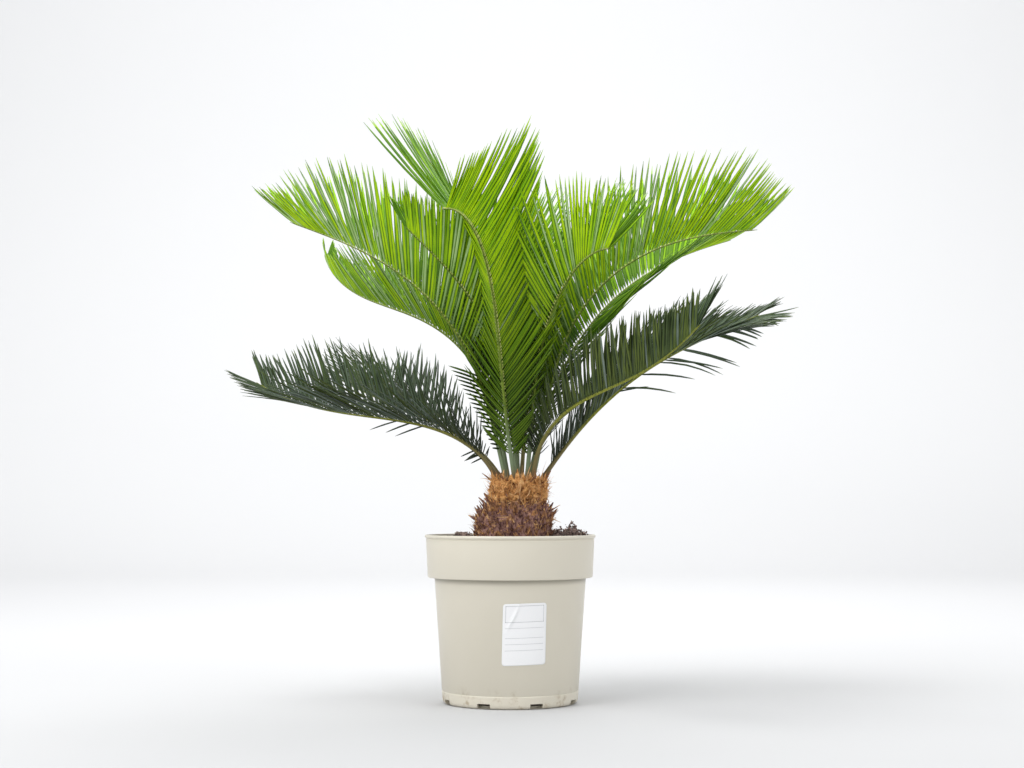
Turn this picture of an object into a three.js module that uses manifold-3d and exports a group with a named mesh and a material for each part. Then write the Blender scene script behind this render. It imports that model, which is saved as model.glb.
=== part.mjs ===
// A young sago palm (Cycas revoluta) in its nursery pot: millimetres, +Z up, origin at the centre of
// the pot's flat underside. +X is to the right of the plant, +Y is behind it, and azimuths are seen
// from above: 0 is to the right, 90 behind, 180 to the left, 270 in front.
import * as THREE from 'three';
import { mergeVertices } from 'three/addons/utils/BufferGeometryUtils.js';
import Module from 'manifold-3d';

const wasm = await Module();
wasm.setup();

// ---------------------------------------------------------------- driving dimensions
const GAP = 0.3;                    // air between neighbouring pieces

const POT_HEIGHT = 185;
const POT_FOOT_RADIUS = 70;         // flat underside
const POT_FOOT_ROUND = 5;
const POT_SHOULDER_RADIUS = 84;     // body just under the band
const POT_BAND_BOTTOM = 138;
const POT_BAND_RADIUS = 91.7;
const POT_LIP_RADIUS = 95;
const POT_LIP_HEIGHT = 3.2;
const POT_LIP_STANDOFF = 1.3;       // how far the lip stands out from the band
const POT_WALL = 2;
const POT_FLOOR = 3;
const POT_FLOOR_ROUND = 4;
const POT_SIDES = 56;
const GROOVE_HEIGHT = 14;           // the fine line round the foot
const GROOVE_DEPTH = 0.5;
const DRAIN_COUNT = 8;
const DRAIN_WIDTH = 15;
const DRAIN_TALL = 5;
const DRAIN_CENTRE_Z = 3.4;

const LABEL_WIDTH = 48;
const LABEL_TALL = 66;
const LABEL_CORNER = 3;
const LABEL_THICK = 0.5;
const LABEL_GLUE = 0.3;             // the glue between the sticker and the pot
const LABEL_CENTRE_Z = 80.5;
const LABEL_AZIMUTH = 281.5;
const LABEL_TILT = 1.5;

const SOIL_LEVEL = 177;             // at the wall
const SOIL_HEAP = 181;              // round the trunk
const SOIL_CLEARANCE = 0.9;         // between the soil and the faceted wall
const SOIL_SIDES = 32;
const SOIL_RINGS = 7;

const TRUNK_FOOT_Z = 178;           // flat cut at soil level
const TRUNK_WAIST_Z = 221;          // where the dark leaf bases end and the wool begins
const CROWN_TOP_Z = 246;            // flat top that the leaf stalks leave from
const TRUNK_FOOT_X = 2.5;           // the trunk leans a little to the right
const CROWN_TOP_X = 10;
const TRUNK_FOOT_RADIUS = 41;
const TRUNK_BELLY_RADIUS = 42.5;
const WAIST_RADIUS = 31;
const CROWN_RADIUS = 29.5;
const RIM_SCALES = 15;

const STALK_STEPS = 3;
const LEAFLETS_A_SIDE = 26;
const RIB_FOOT_RADIUS = 3.9;
const RIB_TIP_RADIUS = 1.1;
const TIP_SPIKE = 8;                // the rib runs out in a point past its last leaflets
const LEAFLET_WAIST = 0.42;         // where a leaflet is widest
const LEAFLET_FILL = 0.78;          // its width there, as a share of its spacing
const LEAFLET_GAP = 0.45;           // air that a leaflet keeps to another frond
const OWN_GAP = 0.15;               // and to the other leaflets of its own frond
const DROOP = 72;                   // how far a hanging leaflet has sunk from its row, in degrees
const DROOP_SIZE = 0.62;            // its length as a share of its neighbours'
const DROOP_BOW = [0.1, -0.25];     // and its own bow

// One row for each frond. azimuth: the way it points, and swing: how far it turns aside on the way.
// foot: where its stalk leaves the crown, as a share of the crown's radius. length: of its rib.
// rise: how steeply the rib climbs, as the four control values of a Bezier curve from foot to tip.
// stalk: the share of the rib with no leaflets. leaflet: the longest one. left and right hold what
// the two rows of leaflets do low down, half way along and at the tip. vee: how steeply they stand up
// from the blade. spread: their angle with the rib. size: their length as a share of the longest.
// droop: the share of a row's outer leaflets that hang below it. bow: how far a leaflet's own tip bends
// forward along the rib and up, as shares of its length.
const FLUSH_ROW = { vee: [12, 48, 48], spread: [72, 56, 36], size: [0.1, 1, 0.36] };
const OLD_ROW = { vee: [30, 46, 34], spread: [70, 54, 28], size: [0.12, 1, 0.45] };
const FLUSH = {
  foot: 0.5, swing: 0, stalk: 0.1, leaflet: 122, left: FLUSH_ROW, right: FLUSH_ROW,
  bow: [0.02, 0.1], color: 0x5f9a2c,
};
const OLD = {
  foot: 0.855, swing: 0, stalk: 0.13, leaflet: 105, left: OLD_ROW, right: OLD_ROW,
  bow: [0.05, -0.03], color: 0x40562c,
};
const FRONDS = [
  {
    ...FLUSH, name: 'frond_front', azimuth: 250, swing: -11, length: 351, rise: [64, 76, 103, -15],
    leaflet: 126,
    left: { vee: [8, 54, 56], spread: [76, 43, 86], size: [0.2, 0.95, 0.45, 0.78] },
    right: { vee: [8, 46, 54], spread: [76, 46, 76], size: [0.26, 1, 0.88] },
  },
  {
    ...FLUSH, name: 'frond_front_right', azimuth: 305, swing: -9, length: 324, rise: [80, 95, 47, -6],
    leaflet: 110,
    left: { vee: [12, 48, 72], spread: [72, 56, 34], size: [0.1, 1, 0.72] },
    right: { vee: [12, 48, 72], spread: [72, 56, 34], size: [0.1, 1, 0.72] },
  },
  {
    ...FLUSH, name: 'frond_left', azimuth: 187, swing: -14, length: 397, rise: [76, 86, 17, 21],
    leaflet: 120,
    left: { vee: [12, 48, 30], spread: [72, 59, 30, 0.75], size: [0.1, 0.94, 0.5, 0.75] },
    right: { vee: [12, 48, 46], spread: [72, 59, 34, 0.75], size: [0.1, 0.94, 0.5, 0.75] },
  },
  {
    ...FLUSH, name: 'frond_right', azimuth: 7, swing: 6, length: 432, rise: [75, 104, 4, 7],
    leaflet: 118,
    left: { vee: [12, 50, 50], spread: [76, 66, 46], size: [0.1, 0.95, 0.55, 0.8] },
    right: { vee: [12, 50, 44], spread: [76, 66, 48], size: [0.1, 0.95, 0.55, 0.8] },
  },
  {
    ...OLD, name: 'old_frond_left', azimuth: 188, swing: -2, length: 290, rise: [66, -10, -3, 33],
    leaflet: 94,
    left: { vee: [30, 24, -34], spread: [62, 40, 18], size: [0.2, 1.1, 0.45] },
    right: { vee: [50, 66, 60], spread: [82, 71, 46, 0.6], size: [0.6, 1, 0.46, 0.6] },
  },
  {
    ...OLD, name: 'old_frond_front_right', azimuth: 309, swing: -4, length: 316, rise: [89, -22, 18, 33],
    leaflet: 90,
    left: { vee: [30, 48, 60], spread: [76, 58, 40], size: [0.2, 0.94, 0.62] },
    right: { vee: [56, 56, 54], spread: [74, 54, 36], size: [0.3, 0.88, 0.5] },
  },
  {
    ...OLD, name: 'old_frond_right', azimuth: 2, swing: 10, length: 312, rise: [55, 51, 17, 25],
    bow: [0.05, -0.1],
    left: { vee: [34, 46, 20, 0.5], spread: [70, 48, 28, 0.5], size: [0.12, 0.9, 0.5] },
    right: { vee: [44, 38, -34, 0.5], spread: [70, 46, 26, 0.5], size: [0.36, 1, 0.44], droop: 0.2 },
  },
  {
    ...FLUSH, name: 'frond_back_left', azimuth: 145, swing: 2, length: 406, rise: [78, 87, -52, 67],
    leaflet: 104,
    left: { vee: [12, 48, 48], spread: [72, 58, 40], size: [0.1, 0.95, 0.26] },
    right: { vee: [12, 48, 48], spread: [72, 52, 36], size: [0.1, 0.95, 0.26] },
  },
  {
    ...FLUSH, name: 'frond_back_right', azimuth: 39, swing: -19, length: 428, rise: [75, 66, 24, 17],
    right: { vee: [12, 4, 18], spread: [72, 50, 34], size: [0.1, 0.9, 0.4] },
  },
  { ...OLD, name: 'old_frond_back_left', azimuth: 142, swing: -20, length: 298, rise: [55, 2, 23, 15] },
  { ...FLUSH, name: 'frond_front_left', azimuth: 214, foot: 0.15, length: 320, rise: [88, 90, 32, 38] },
  { ...FLUSH, name: 'frond_back', azimuth: 96, length: 400, rise: [80, 84, 40, 10] },
  { ...OLD, name: 'old_frond_back', azimuth: 84, length: 300, rise: [62, 30, 15, 20] },
];

// ---------------------------------------------------------------- small helpers
const rad = THREE.MathUtils.degToRad;
const mix = THREE.MathUtils.lerp;
const smooth = THREE.MathUtils.smoothstep;
const GOLDEN_ANGLE = Math.PI * (3 - Math.sqrt(5));
const point3 = (x, y, z) => new THREE.Vector3(x, y, z);
const point2 = (x, y) => new THREE.Vector2(x, y);

// A repeatable number from 0 to 1 for each whole number and seed.
function chance(index, seed) {
  const wave = Math.sin(index * 127.1 + seed * 311.7) * 43758.5453;
  return wave - Math.floor(wave);
}

function solidOf(geometry) {
  const bare = geometry.clone();
  bare.deleteAttribute('normal');
  bare.deleteAttribute('uv');
  const merged = mergeVertices(bare, 1e-4);
  return new wasm.Manifold(new wasm.Mesh({
    numProp: 3,
    vertProperties: new Float32Array(merged.attributes.position.array),
    triVerts: new Uint32Array(merged.index.array),
  }));
}

function geometryOf(solid) {
  const mesh = solid.getMesh();
  const geometry = new THREE.BufferGeometry();
  geometry.setAttribute('position', new THREE.BufferAttribute(new Float32Array(mesh.vertProperties), 3));
  geometry.setIndex(new THREE.BufferAttribute(new Uint32Array(mesh.triVerts), 1));
  return geometry;
}

// A closed mesh from points and faces whose corners run anticlockwise seen from outside.
function polyhedron(points, faces) {
  const geometry = new THREE.BufferGeometry();
  const fan = ([first, ...rest]) => rest.slice(1).flatMap((corner, i) => [first, rest[i], corner]);
  geometry.setAttribute('position', new THREE.Float32BufferAttribute(points.flatMap((p) => p.toArray()), 3));
  geometry.setIndex(faces.flatMap(fan));
  return geometry;
}

// A shape of revolution about the upright axis.
const turned = (outline, sides) => new THREE.LatheGeometry(outline, sides).rotateX(Math.PI / 2);

function boxSolid(minimum, maximum) {
  const size = maximum.clone().sub(minimum);
  const centre = maximum.clone().add(minimum).multiplyScalar(0.5);
  return solidOf(new THREE.BoxGeometry(size.x, size.y, size.z).translate(centre.x, centre.y, centre.z));
}

// ---------------------------------------------------------------- pot
const potBodyRadius = (z) => mix(POT_FOOT_RADIUS + POT_FOOT_ROUND, POT_SHOULDER_RADIUS,
  (z - POT_FOOT_ROUND) / (POT_BAND_BOTTOM - POT_FOOT_ROUND));
const potLipBottom = POT_HEIGHT - POT_LIP_HEIGHT;
const potBandRadius = (z) => mix(POT_BAND_RADIUS, POT_LIP_RADIUS - POT_LIP_STANDOFF,
  (z - POT_BAND_BOTTOM) / (potLipBottom - POT_BAND_BOTTOM));

// Half the pot's section: round foot, tapering body with a fine groove, the band that steps out of
// it, the lip, and the inside of the same wall down to the floor.
function potOutline() {
  const foot = [0, 30, 60, 90].map((turn) => point2(
    POT_FOOT_RADIUS + POT_FOOT_ROUND * Math.sin(rad(turn)),
    POT_FOOT_ROUND * (1 - Math.cos(rad(turn))),
  ));
  return [
    point2(0, 0),
    ...foot,
    point2(potBodyRadius(GROOVE_HEIGHT - 1), GROOVE_HEIGHT - 1),
    point2(potBodyRadius(GROOVE_HEIGHT) - GROOVE_DEPTH, GROOVE_HEIGHT),
    point2(potBodyRadius(GROOVE_HEIGHT + 1), GROOVE_HEIGHT + 1),
    point2(POT_SHOULDER_RADIUS, POT_BAND_BOTTOM),
    point2(POT_BAND_RADIUS - 1, POT_BAND_BOTTOM),
    point2(POT_BAND_RADIUS, POT_BAND_BOTTOM + 1),
    point2(potBandRadius(potLipBottom), potLipBottom),
    point2(POT_LIP_RADIUS, potLipBottom + 0.6),
    point2(POT_LIP_RADIUS, POT_HEIGHT - 0.8),
    point2(POT_LIP_RADIUS - 0.8, POT_HEIGHT),
    point2(potBandRadius(POT_HEIGHT) - POT_WALL, POT_HEIGHT),
    point2(POT_BAND_RADIUS - POT_WALL, POT_BAND_BOTTOM + POT_WALL),
    point2(POT_SHOULDER_RADIUS - POT_WALL, POT_BAND_BOTTOM + POT_WALL),
    point2(potBodyRadius(POT_FLOOR + POT_FLOOR_ROUND) - POT_WALL, POT_FLOOR + POT_FLOOR_ROUND),
    point2(potBodyRadius(POT_FLOOR) - POT_WALL - POT_FLOOR_ROUND, POT_FLOOR),
    point2(0, POT_FLOOR),
  ];
}

// The drain slots run through the round foot into the pot.
function makePot() {
  const slots = Array.from({ length: DRAIN_COUNT }, (_, i) => {
    const azimuth = 2 * Math.PI * (i + 0.5) / DRAIN_COUNT;
    return solidOf(new THREE.BoxGeometry(14, DRAIN_WIDTH, DRAIN_TALL)
      .translate(POT_FOOT_RADIUS + 3, 0, DRAIN_CENTRE_Z)
      .rotateZ(azimuth));
  });
  return solidOf(turned(potOutline(), POT_SIDES)).subtract(wasm.Manifold.union(slots));
}

// ---------------------------------------------------------------- label
// A bare paper sticker with round corners, wrapped on the front of the tapering body: a thin sleeve
// round the body, cut to the sticker's outline.
function makeLabel() {
  const cornerX = LABEL_WIDTH / 2 - LABEL_CORNER;
  const cornerY = LABEL_TALL / 2 - LABEL_CORNER;
  const outline = new THREE.Shape();
  outline.absarc(cornerX, -cornerY, LABEL_CORNER, -Math.PI / 2, 0);
  outline.absarc(cornerX, cornerY, LABEL_CORNER, 0, Math.PI / 2);
  outline.absarc(-cornerX, cornerY, LABEL_CORNER, Math.PI / 2, Math.PI);
  outline.absarc(-cornerX, -cornerY, LABEL_CORNER, Math.PI, 1.5 * Math.PI);
  const depth = 30;
  const stamp = new THREE.ExtrudeGeometry(outline, { depth, bevelEnabled: false, curveSegments: 3 })
    .rotateZ(rad(LABEL_TILT))
    .rotateX(Math.PI / 2)
    .translate(0, -potBodyRadius(LABEL_CENTRE_Z) + depth / 2, LABEL_CENTRE_Z)
    .rotateZ(rad(LABEL_AZIMUTH - 270));
  const skin = (z, offset) => point2(potBodyRadius(z) + offset, z);
  const outer = LABEL_GLUE + LABEL_THICK;
  const sleeve = turned([
    skin(0, LABEL_GLUE), skin(0, outer), skin(POT_BAND_BOTTOM, outer), skin(POT_BAND_BOTTOM, LABEL_GLUE),
    skin(0, LABEL_GLUE),
  ], POT_SIDES);
  return solidOf(sleeve).intersect(solidOf(stamp));
}

// ---------------------------------------------------------------- trunk
const axisX = (z) => mix(TRUNK_FOOT_X, CROWN_TOP_X, smooth(z, TRUNK_FOOT_Z, CROWN_TOP_Z));

function trunkRadius(z) {
  const t = (z - TRUNK_FOOT_Z) / (TRUNK_WAIST_Z - TRUNK_FOOT_Z);
  const belly = mix(TRUNK_FOOT_RADIUS, TRUNK_BELLY_RADIUS, Math.sin(Math.PI * t));
  return mix(belly, WAIST_RADIUS, smooth(t, 0.55, 1));
}

function crownRadius(z) {
  const t = (z - TRUNK_WAIST_Z) / (CROWN_TOP_Z - TRUNK_WAIST_Z);
  return mix(WAIST_RADIUS, CROWN_RADIUS, t) + 1.2 * Math.sin(Math.PI * t);
}

function leaningCore(radiusAt, bottom, top, rings, sides) {
  const rim = Array.from({ length: rings + 1 }, (_, i) => mix(bottom, top, i / rings));
  const geometry = turned([
    point2(0, bottom), ...rim.map((z) => point2(radiusAt(z), z)), point2(0, top),
  ], sides);
  const { position } = geometry.attributes;
  for (let i = 0; i < position.count; i += 1) {
    position.setX(i, position.getX(i) + axisX(position.getZ(i)));
  }
  return solidOf(geometry);
}

// An old leaf base or bud scale: a pointed wedge that stands off the trunk, its root sunk well in.
function makeScale({ foot, out, length, width, thick, sink }) {
  const side = point3(0, 0, 1).cross(out).normalize();
  const under = side.clone().cross(out).normalize();
  const root = foot.clone().addScaledVector(out, -sink);
  return solidOf(polyhedron([
    root.clone().addScaledVector(side, width / 2),
    root.clone().addScaledVector(side, -width / 2),
    root.clone().addScaledVector(under, thick),
    foot.clone().addScaledVector(out, length),
  ], [[0, 2, 1], [0, 1, 3], [1, 2, 3], [2, 0, 3]]));
}

// The way out from the leaning axis at an azimuth, lifted by an angle.
function outwardAt(azimuth, lift) {
  return point3(Math.cos(azimuth) * Math.cos(lift), Math.sin(azimuth) * Math.cos(lift), Math.sin(lift));
}

// Scales in a rising spiral, each a golden angle on from the last, as the old leaves grew.
function scaleSpiral({ count, bottom, top, radiusAt, rise, length, width, thick, seed }) {
  return Array.from({ length: count }, (_, i) => {
    const z = mix(bottom, top, (i + 0.5) / count);
    const azimuth = i * GOLDEN_ANGLE + 0.35 * (chance(i, seed) - 0.5);
    return makeScale({
      foot: outwardAt(azimuth, 0).multiplyScalar(radiusAt(z) - 1).add(point3(axisX(z), 0, z)),
      out: outwardAt(azimuth, rad(rise + 18 * (chance(i, seed + 1) - 0.5))),
      length: length * (0.7 + 0.6 * chance(i, seed + 2)),
      width,
      thick,
      sink: 5,
    });
  });
}

// The squat trunk under the wool: a leaning barrel, cut flat at soil level, shaggy with old leaf bases.
function makeTrunk() {
  const core = leaningCore(trunkRadius, TRUNK_FOOT_Z, TRUNK_WAIST_Z, 5, 18);
  const scales = scaleSpiral({
    count: 62,
    bottom: TRUNK_FOOT_Z + 4,
    top: TRUNK_WAIST_Z - 5,
    radiusAt: trunkRadius,
    rise: 46,
    length: 14,
    width: 14,
    thick: 5.5,
    seed: 3,
  });
  const below = boxSolid(point3(-120, -120, TRUNK_FOOT_Z - 60), point3(120, 120, TRUNK_FOOT_Z));
  return wasm.Manifold.union([core, ...scales]).subtract(below).simplify(0.02);
}

// The woolly top that the leaf stalks come out of: bud scales up its side and round its flat rim,
// a few of them long dry spikes. A scale that would touch a stalk is left out.
function makeCrownBud(trunk, ribs) {
  const core = leaningCore(crownRadius, TRUNK_WAIST_Z + GAP, CROWN_TOP_Z, 3, 16);
  const side = scaleSpiral({
    count: 26,
    bottom: TRUNK_WAIST_Z + 9,
    top: CROWN_TOP_Z - 4,
    radiusAt: crownRadius,
    rise: 68,
    length: 12,
    width: 13,
    thick: 4.5,
    seed: 11,
  });
  const rim = Array.from({ length: RIM_SCALES }, (_, i) => {
    const azimuth = 2 * Math.PI * (i + 0.4 * (chance(i, 5) - 0.5)) / RIM_SCALES;
    const isSpike = i % 4 === 0;
    return makeScale({
      foot: outwardAt(azimuth, 0).multiplyScalar(CROWN_RADIUS - 2.5)
        .add(point3(CROWN_TOP_X, 0, CROWN_TOP_Z - 3)),
      out: outwardAt(azimuth, rad(isSpike ? 34 : 70)),
      length: isSpike ? 19 : 12 + 5 * chance(i, 6),
      width: isSpike ? 6 : 11,
      thick: 4,
      sink: 6,
    });
  });
  const isClear = (scale) => [...ribs, trunk].every((other) => scale.minGap(other, 2) > GAP);
  return wasm.Manifold.union([core, ...[...side, ...rim].filter(isClear)]).simplify(0.02);
}

// ---------------------------------------------------------------- soil
// Heaped round the trunk, with a loose crumbly clump on the right and a small one on the left.
function soilHeight(x, y) {
  const fromTrunk = Math.hypot(x - TRUNK_FOOT_X, y);
  const heap = mix(SOIL_HEAP, SOIL_LEVEL, smooth(fromTrunk, TRUNK_FOOT_RADIUS, POT_SHOULDER_RADIUS));
  const mound = (cx, cy, wide, tall) => tall * Math.exp(-((x - cx) ** 2 + (y - cy) ** 2) / (wide * wide));
  const crumbs = 1.4 * Math.sin(x * 0.31 + 1.3) * Math.sin(y * 0.27 + 0.4);
  return heap + crumbs + mound(70, -14, 17, 15) + mound(60, 22, 15, 9) + mound(-54, -18, 11, 8);
}

// The soil fills the pot up to the flat cut under the trunk, and stays clear of the trunk's scales.
function makeSoil() {
  const ledge = POT_BAND_BOTTOM + POT_WALL + GAP;
  const inside = (radius) => radius - POT_WALL - SOIL_CLEARANCE;
  const topRadius = inside(potBandRadius(SOIL_LEVEL));
  const wall = [
    [inside(potBodyRadius(POT_FLOOR)) - POT_FLOOR_ROUND, POT_FLOOR + GAP],
    [inside(potBodyRadius(POT_FLOOR + POT_FLOOR_ROUND)), POT_FLOOR + POT_FLOOR_ROUND + 0.6],
    [inside(POT_SHOULDER_RADIUS), ledge],
    [inside(POT_BAND_RADIUS), ledge],
  ].map(([radius, z]) => ({ radius, heightAt: () => z }));
  const surface = Array.from({ length: SOIL_RINGS }, (_, i) => (
    { radius: topRadius * (1 - i / SOIL_RINGS), heightAt: soilHeight }));
  const points = [point3(0, 0, POT_FLOOR + GAP)];
  const faces = [];
  [...wall, ...surface].forEach(({ radius, heightAt }, ring) => {
    const start = points.length;
    for (let k = 0; k < SOIL_SIDES; k += 1) {
      const azimuth = 2 * Math.PI * k / SOIL_SIDES;
      const next = (k + 1) % SOIL_SIDES;
      const x = radius * Math.cos(azimuth);
      const y = radius * Math.sin(azimuth);
      points.push(point3(x, y, heightAt(x, y)));
      const below = start - SOIL_SIDES;
      const wallFace = [below + k, below + next, start + next, start + k];
      faces.push(ring === 0 ? [0, start + next, start + k] : wallFace);
    }
  });
  const last = points.length - SOIL_SIDES;
  points.push(point3(0, 0, SOIL_HEAP));
  for (let k = 0; k < SOIL_SIDES; k += 1) {
    faces.push([points.length - 1, last + k, last + (k + 1) % SOIL_SIDES]);
  }
  const seat = turned([
    point2(0, TRUNK_FOOT_Z - GAP),
    point2(TRUNK_FOOT_RADIUS + 3, TRUNK_FOOT_Z - GAP),
    point2(TRUNK_BELLY_RADIUS + 12, TRUNK_FOOT_Z + 14),
    point2(TRUNK_BELLY_RADIUS + 12, TRUNK_FOOT_Z + 40),
    point2(0, TRUNK_FOOT_Z + 40),
  ], SOIL_SIDES).translate(TRUNK_FOOT_X, 0, 0);
  return solidOf(polyhedron(points, faces)).subtract(solidOf(seat));
}

// ---------------------------------------------------------------- the rib of a frond
const ribRadius = (s) => mix(RIB_FOOT_RADIUS, RIB_TIP_RADIUS, 1 - (1 - s) ** 1.8);

function bezier([a, b, c, d], s) {
  const r = 1 - s;
  return r * r * r * a + 3 * r * r * s * b + 3 * r * s * s * c + s * s * s * d;
}

// The rib's course: for a share s of its length, its point, the way it runs, its left and its upper side.
function traceRib(frond) {
  const steps = 80;
  const azimuth = rad(frond.azimuth);
  const place = outwardAt(azimuth, 0).multiplyScalar(frond.foot * CROWN_RADIUS)
    .add(point3(CROWN_TOP_X, 0, CROWN_TOP_Z + GAP));
  const chain = Array.from({ length: steps + 1 }, (_, i) => {
    const s = i / steps;
    const heading = azimuth + rad(frond.swing) * s * s;
    const along = outwardAt(heading, rad(bezier(frond.rise, s)));
    const left = point3(-Math.sin(heading), Math.cos(heading), 0);
    const upper = along.clone().cross(left);
    const station = {
      point: place.clone(),
      along,
      left,
      upper,
    };
    place.addScaledVector(along, frond.length / steps);
    return station;
  });
  return (s) => {
    const low = Math.min(steps - 1, Math.floor(s * steps));
    const between = (key) => chain[low][key].clone().lerp(chain[low + 1][key], s * steps - low);
    return {
      point: between('point'),
      along: between('along'),
      left: between('left'),
      upper: between('upper'),
    };
  };
}

// The rib is a four-sided tube. A ring's corners are its left, upper, right and under side. The first
// ring lies flat on the crown. Leaflets grow between one ring and the next.
function ribRings(frond, courseAt) {
  const shares = [];
  for (let i = 0; i < STALK_STEPS; i += 1) shares.push(frond.stalk * i / STALK_STEPS);
  for (let i = 0; i <= LEAFLETS_A_SIDE; i += 1) shares.push(mix(frond.stalk, 1, i / LEAFLETS_A_SIDE));
  return shares.map((s, i) => {
    const { point, along, left, upper } = courseAt(s);
    const radius = ribRadius(s);
    const corners = [
      point.clone().addScaledVector(left, radius),
      point.clone().addScaledVector(upper, radius * 0.8),
      point.clone().addScaledVector(left, -radius),
      point.clone().addScaledVector(upper, -radius * 0.8),
    ];
    if (i === 0) {
      corners.forEach((corner) => corner.addScaledVector(along, (point.z - corner.z) / along.z));
    }
    return { s, corners };
  });
}

// The rib's mesh, with a leaflet on the left and right of each segment where there is one.
function frondMesh(rings, courseAt, leaflets) {
  const points = rings.flatMap((ring) => ring.corners);
  const faces = [[3, 2, 1, 0]];
  const addLeaflet = (leaflet, back, front, isLeft) => {
    const keel = points.length;
    points.push(leaflet.rootKeel, leaflet.waistBack, leaflet.waistFront, leaflet.waistKeel, leaflet.tip);
    const [waistBack, waistFront, waistKeel, tip] = [keel + 1, keel + 2, keel + 3, keel + 4];
    const skin = [
      [back, front, waistFront, waistBack],
      [front, keel, waistKeel, waistFront],
      [keel, back, waistBack, waistKeel],
      [waistBack, waistFront, tip],
      [waistFront, waistKeel, tip],
      [waistKeel, waistBack, tip],
    ];
    faces.push(...(isLeft ? skin : skin.map((face) => [...face].reverse())));
    return keel;
  };
  for (let i = 0; i < rings.length - 1; i += 1) {
    const [left, upper, right, under] = [4 * i, 4 * i + 1, 4 * i + 2, 4 * i + 3];
    const [nextLeft, nextUpper, nextRight, nextUnder] = [left + 4, upper + 4, right + 4, under + 4];
    faces.push([left, upper, nextUpper, nextLeft], [upper, right, nextRight, nextUpper]);
    const grown = leaflets[i] ?? {};
    if (grown.left) {
      const keel = addLeaflet(grown.left, left, nextLeft, true);
      faces.push([under, left, keel], [under, keel, nextUnder], [keel, nextLeft, nextUnder]);
    } else {
      faces.push([under, left, nextLeft, nextUnder]);
    }
    if (grown.right) {
      const keel = addLeaflet(grown.right, right, nextRight, false);
      faces.push([right, under, keel], [under, nextUnder, keel], [nextUnder, nextRight, keel]);
    } else {
      faces.push([right, under, nextUnder, nextRight]);
    }
  }
  const end = courseAt(1);
  points.push(end.point.addScaledVector(end.along, TIP_SPIKE));
  const last = 4 * (rings.length - 1);
  for (let k = 0; k < 4; k += 1) faces.push([last + k, last + (k + 1) % 4, points.length - 1]);
  return polyhedron(points, faces);
}

// ---------------------------------------------------------------- leaflets
// A value given low down, half way along and at the tip of a row of leaflets, at the share t of it.
// turn: the share where it starts to change towards the tip.
function alongRow([low, middle, tip, turn = 0.55], t) {
  return t < 0.5 ? mix(low, middle, smooth(t, -0.05, 0.42)) : mix(middle, tip, smooth(t, turn, 1));
}

// A leaflet has a flat upper face and a keel under it for its midrib. Its root edge runs from back to
// front on the rib's side, and side is 1 on the left and -1 on the right.
function leafletCorners({ back, front, way, side, length, width, bow }) {
  const root = back.clone().lerp(front, 0.5);
  const edge = front.clone().sub(back).normalize();
  const across = edge.clone().addScaledVector(way, -edge.dot(way)).normalize();
  const upper = across.clone().cross(way).multiplyScalar(side).normalize();
  const thick = Math.max(1.1, length / 90);
  const waist = root.clone().addScaledVector(way, length * LEAFLET_WAIST)
    .addScaledVector(bow, length * LEAFLET_WAIST ** 2);
  return {
    rootKeel: root.clone().addScaledVector(upper, -thick),
    waistBack: waist.clone().addScaledVector(across, -width / 2),
    waistFront: waist.clone().addScaledVector(across, width / 2),
    waistKeel: waist.clone().addScaledVector(upper, -thick),
    tip: root.clone().addScaledVector(way, length).addScaledVector(bow, length),
  };
}

// A leaflet as a solid of its own from a share of the way to its waist on, to find what it would touch.
function leafletProbe(back, front, leaflet, side, from) {
  const points = [
    back.clone().lerp(leaflet.waistBack, from), front.clone().lerp(leaflet.waistFront, from),
    leaflet.rootKeel.clone().lerp(leaflet.waistKeel, from),
    leaflet.waistBack, leaflet.waistFront, leaflet.waistKeel, leaflet.tip,
  ];
  const faces = [[0, 2, 1], [0, 1, 4, 3], [1, 2, 5, 4], [2, 0, 3, 5], [3, 4, 6], [4, 5, 6], [5, 3, 6]];
  return solidOf(polyhedron(points, side > 0 ? faces : faces.map((face) => [...face].reverse())));
}

// What has grown so far, so that each new leaflet keeps clear of it: each thing whole against other
// fronds, and without its root against its own.
class Space {
  constructor() {
    this.taken = [];
  }

  take(owner, whole, outer) {
    this.taken.push({ owner, whole, outer, box: whole.boundingBox() });
  }

  isFree(owner, whole, outer) {
    const box = whole.boundingBox();
    return this.taken.every((other) => {
      const boxesMeet = [0, 1, 2].every((k) => box.min[k] - LEAFLET_GAP < other.box.max[k]
        && other.box.min[k] - LEAFLET_GAP < box.max[k]);
      if (!boxesMeet) return true;
      if (other.owner !== owner) return whole.minGap(other.whole, 1) >= LEAFLET_GAP;
      return !other.outer || outer.minGap(other.outer, 1) >= OWN_GAP;
    });
  }
}

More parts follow.
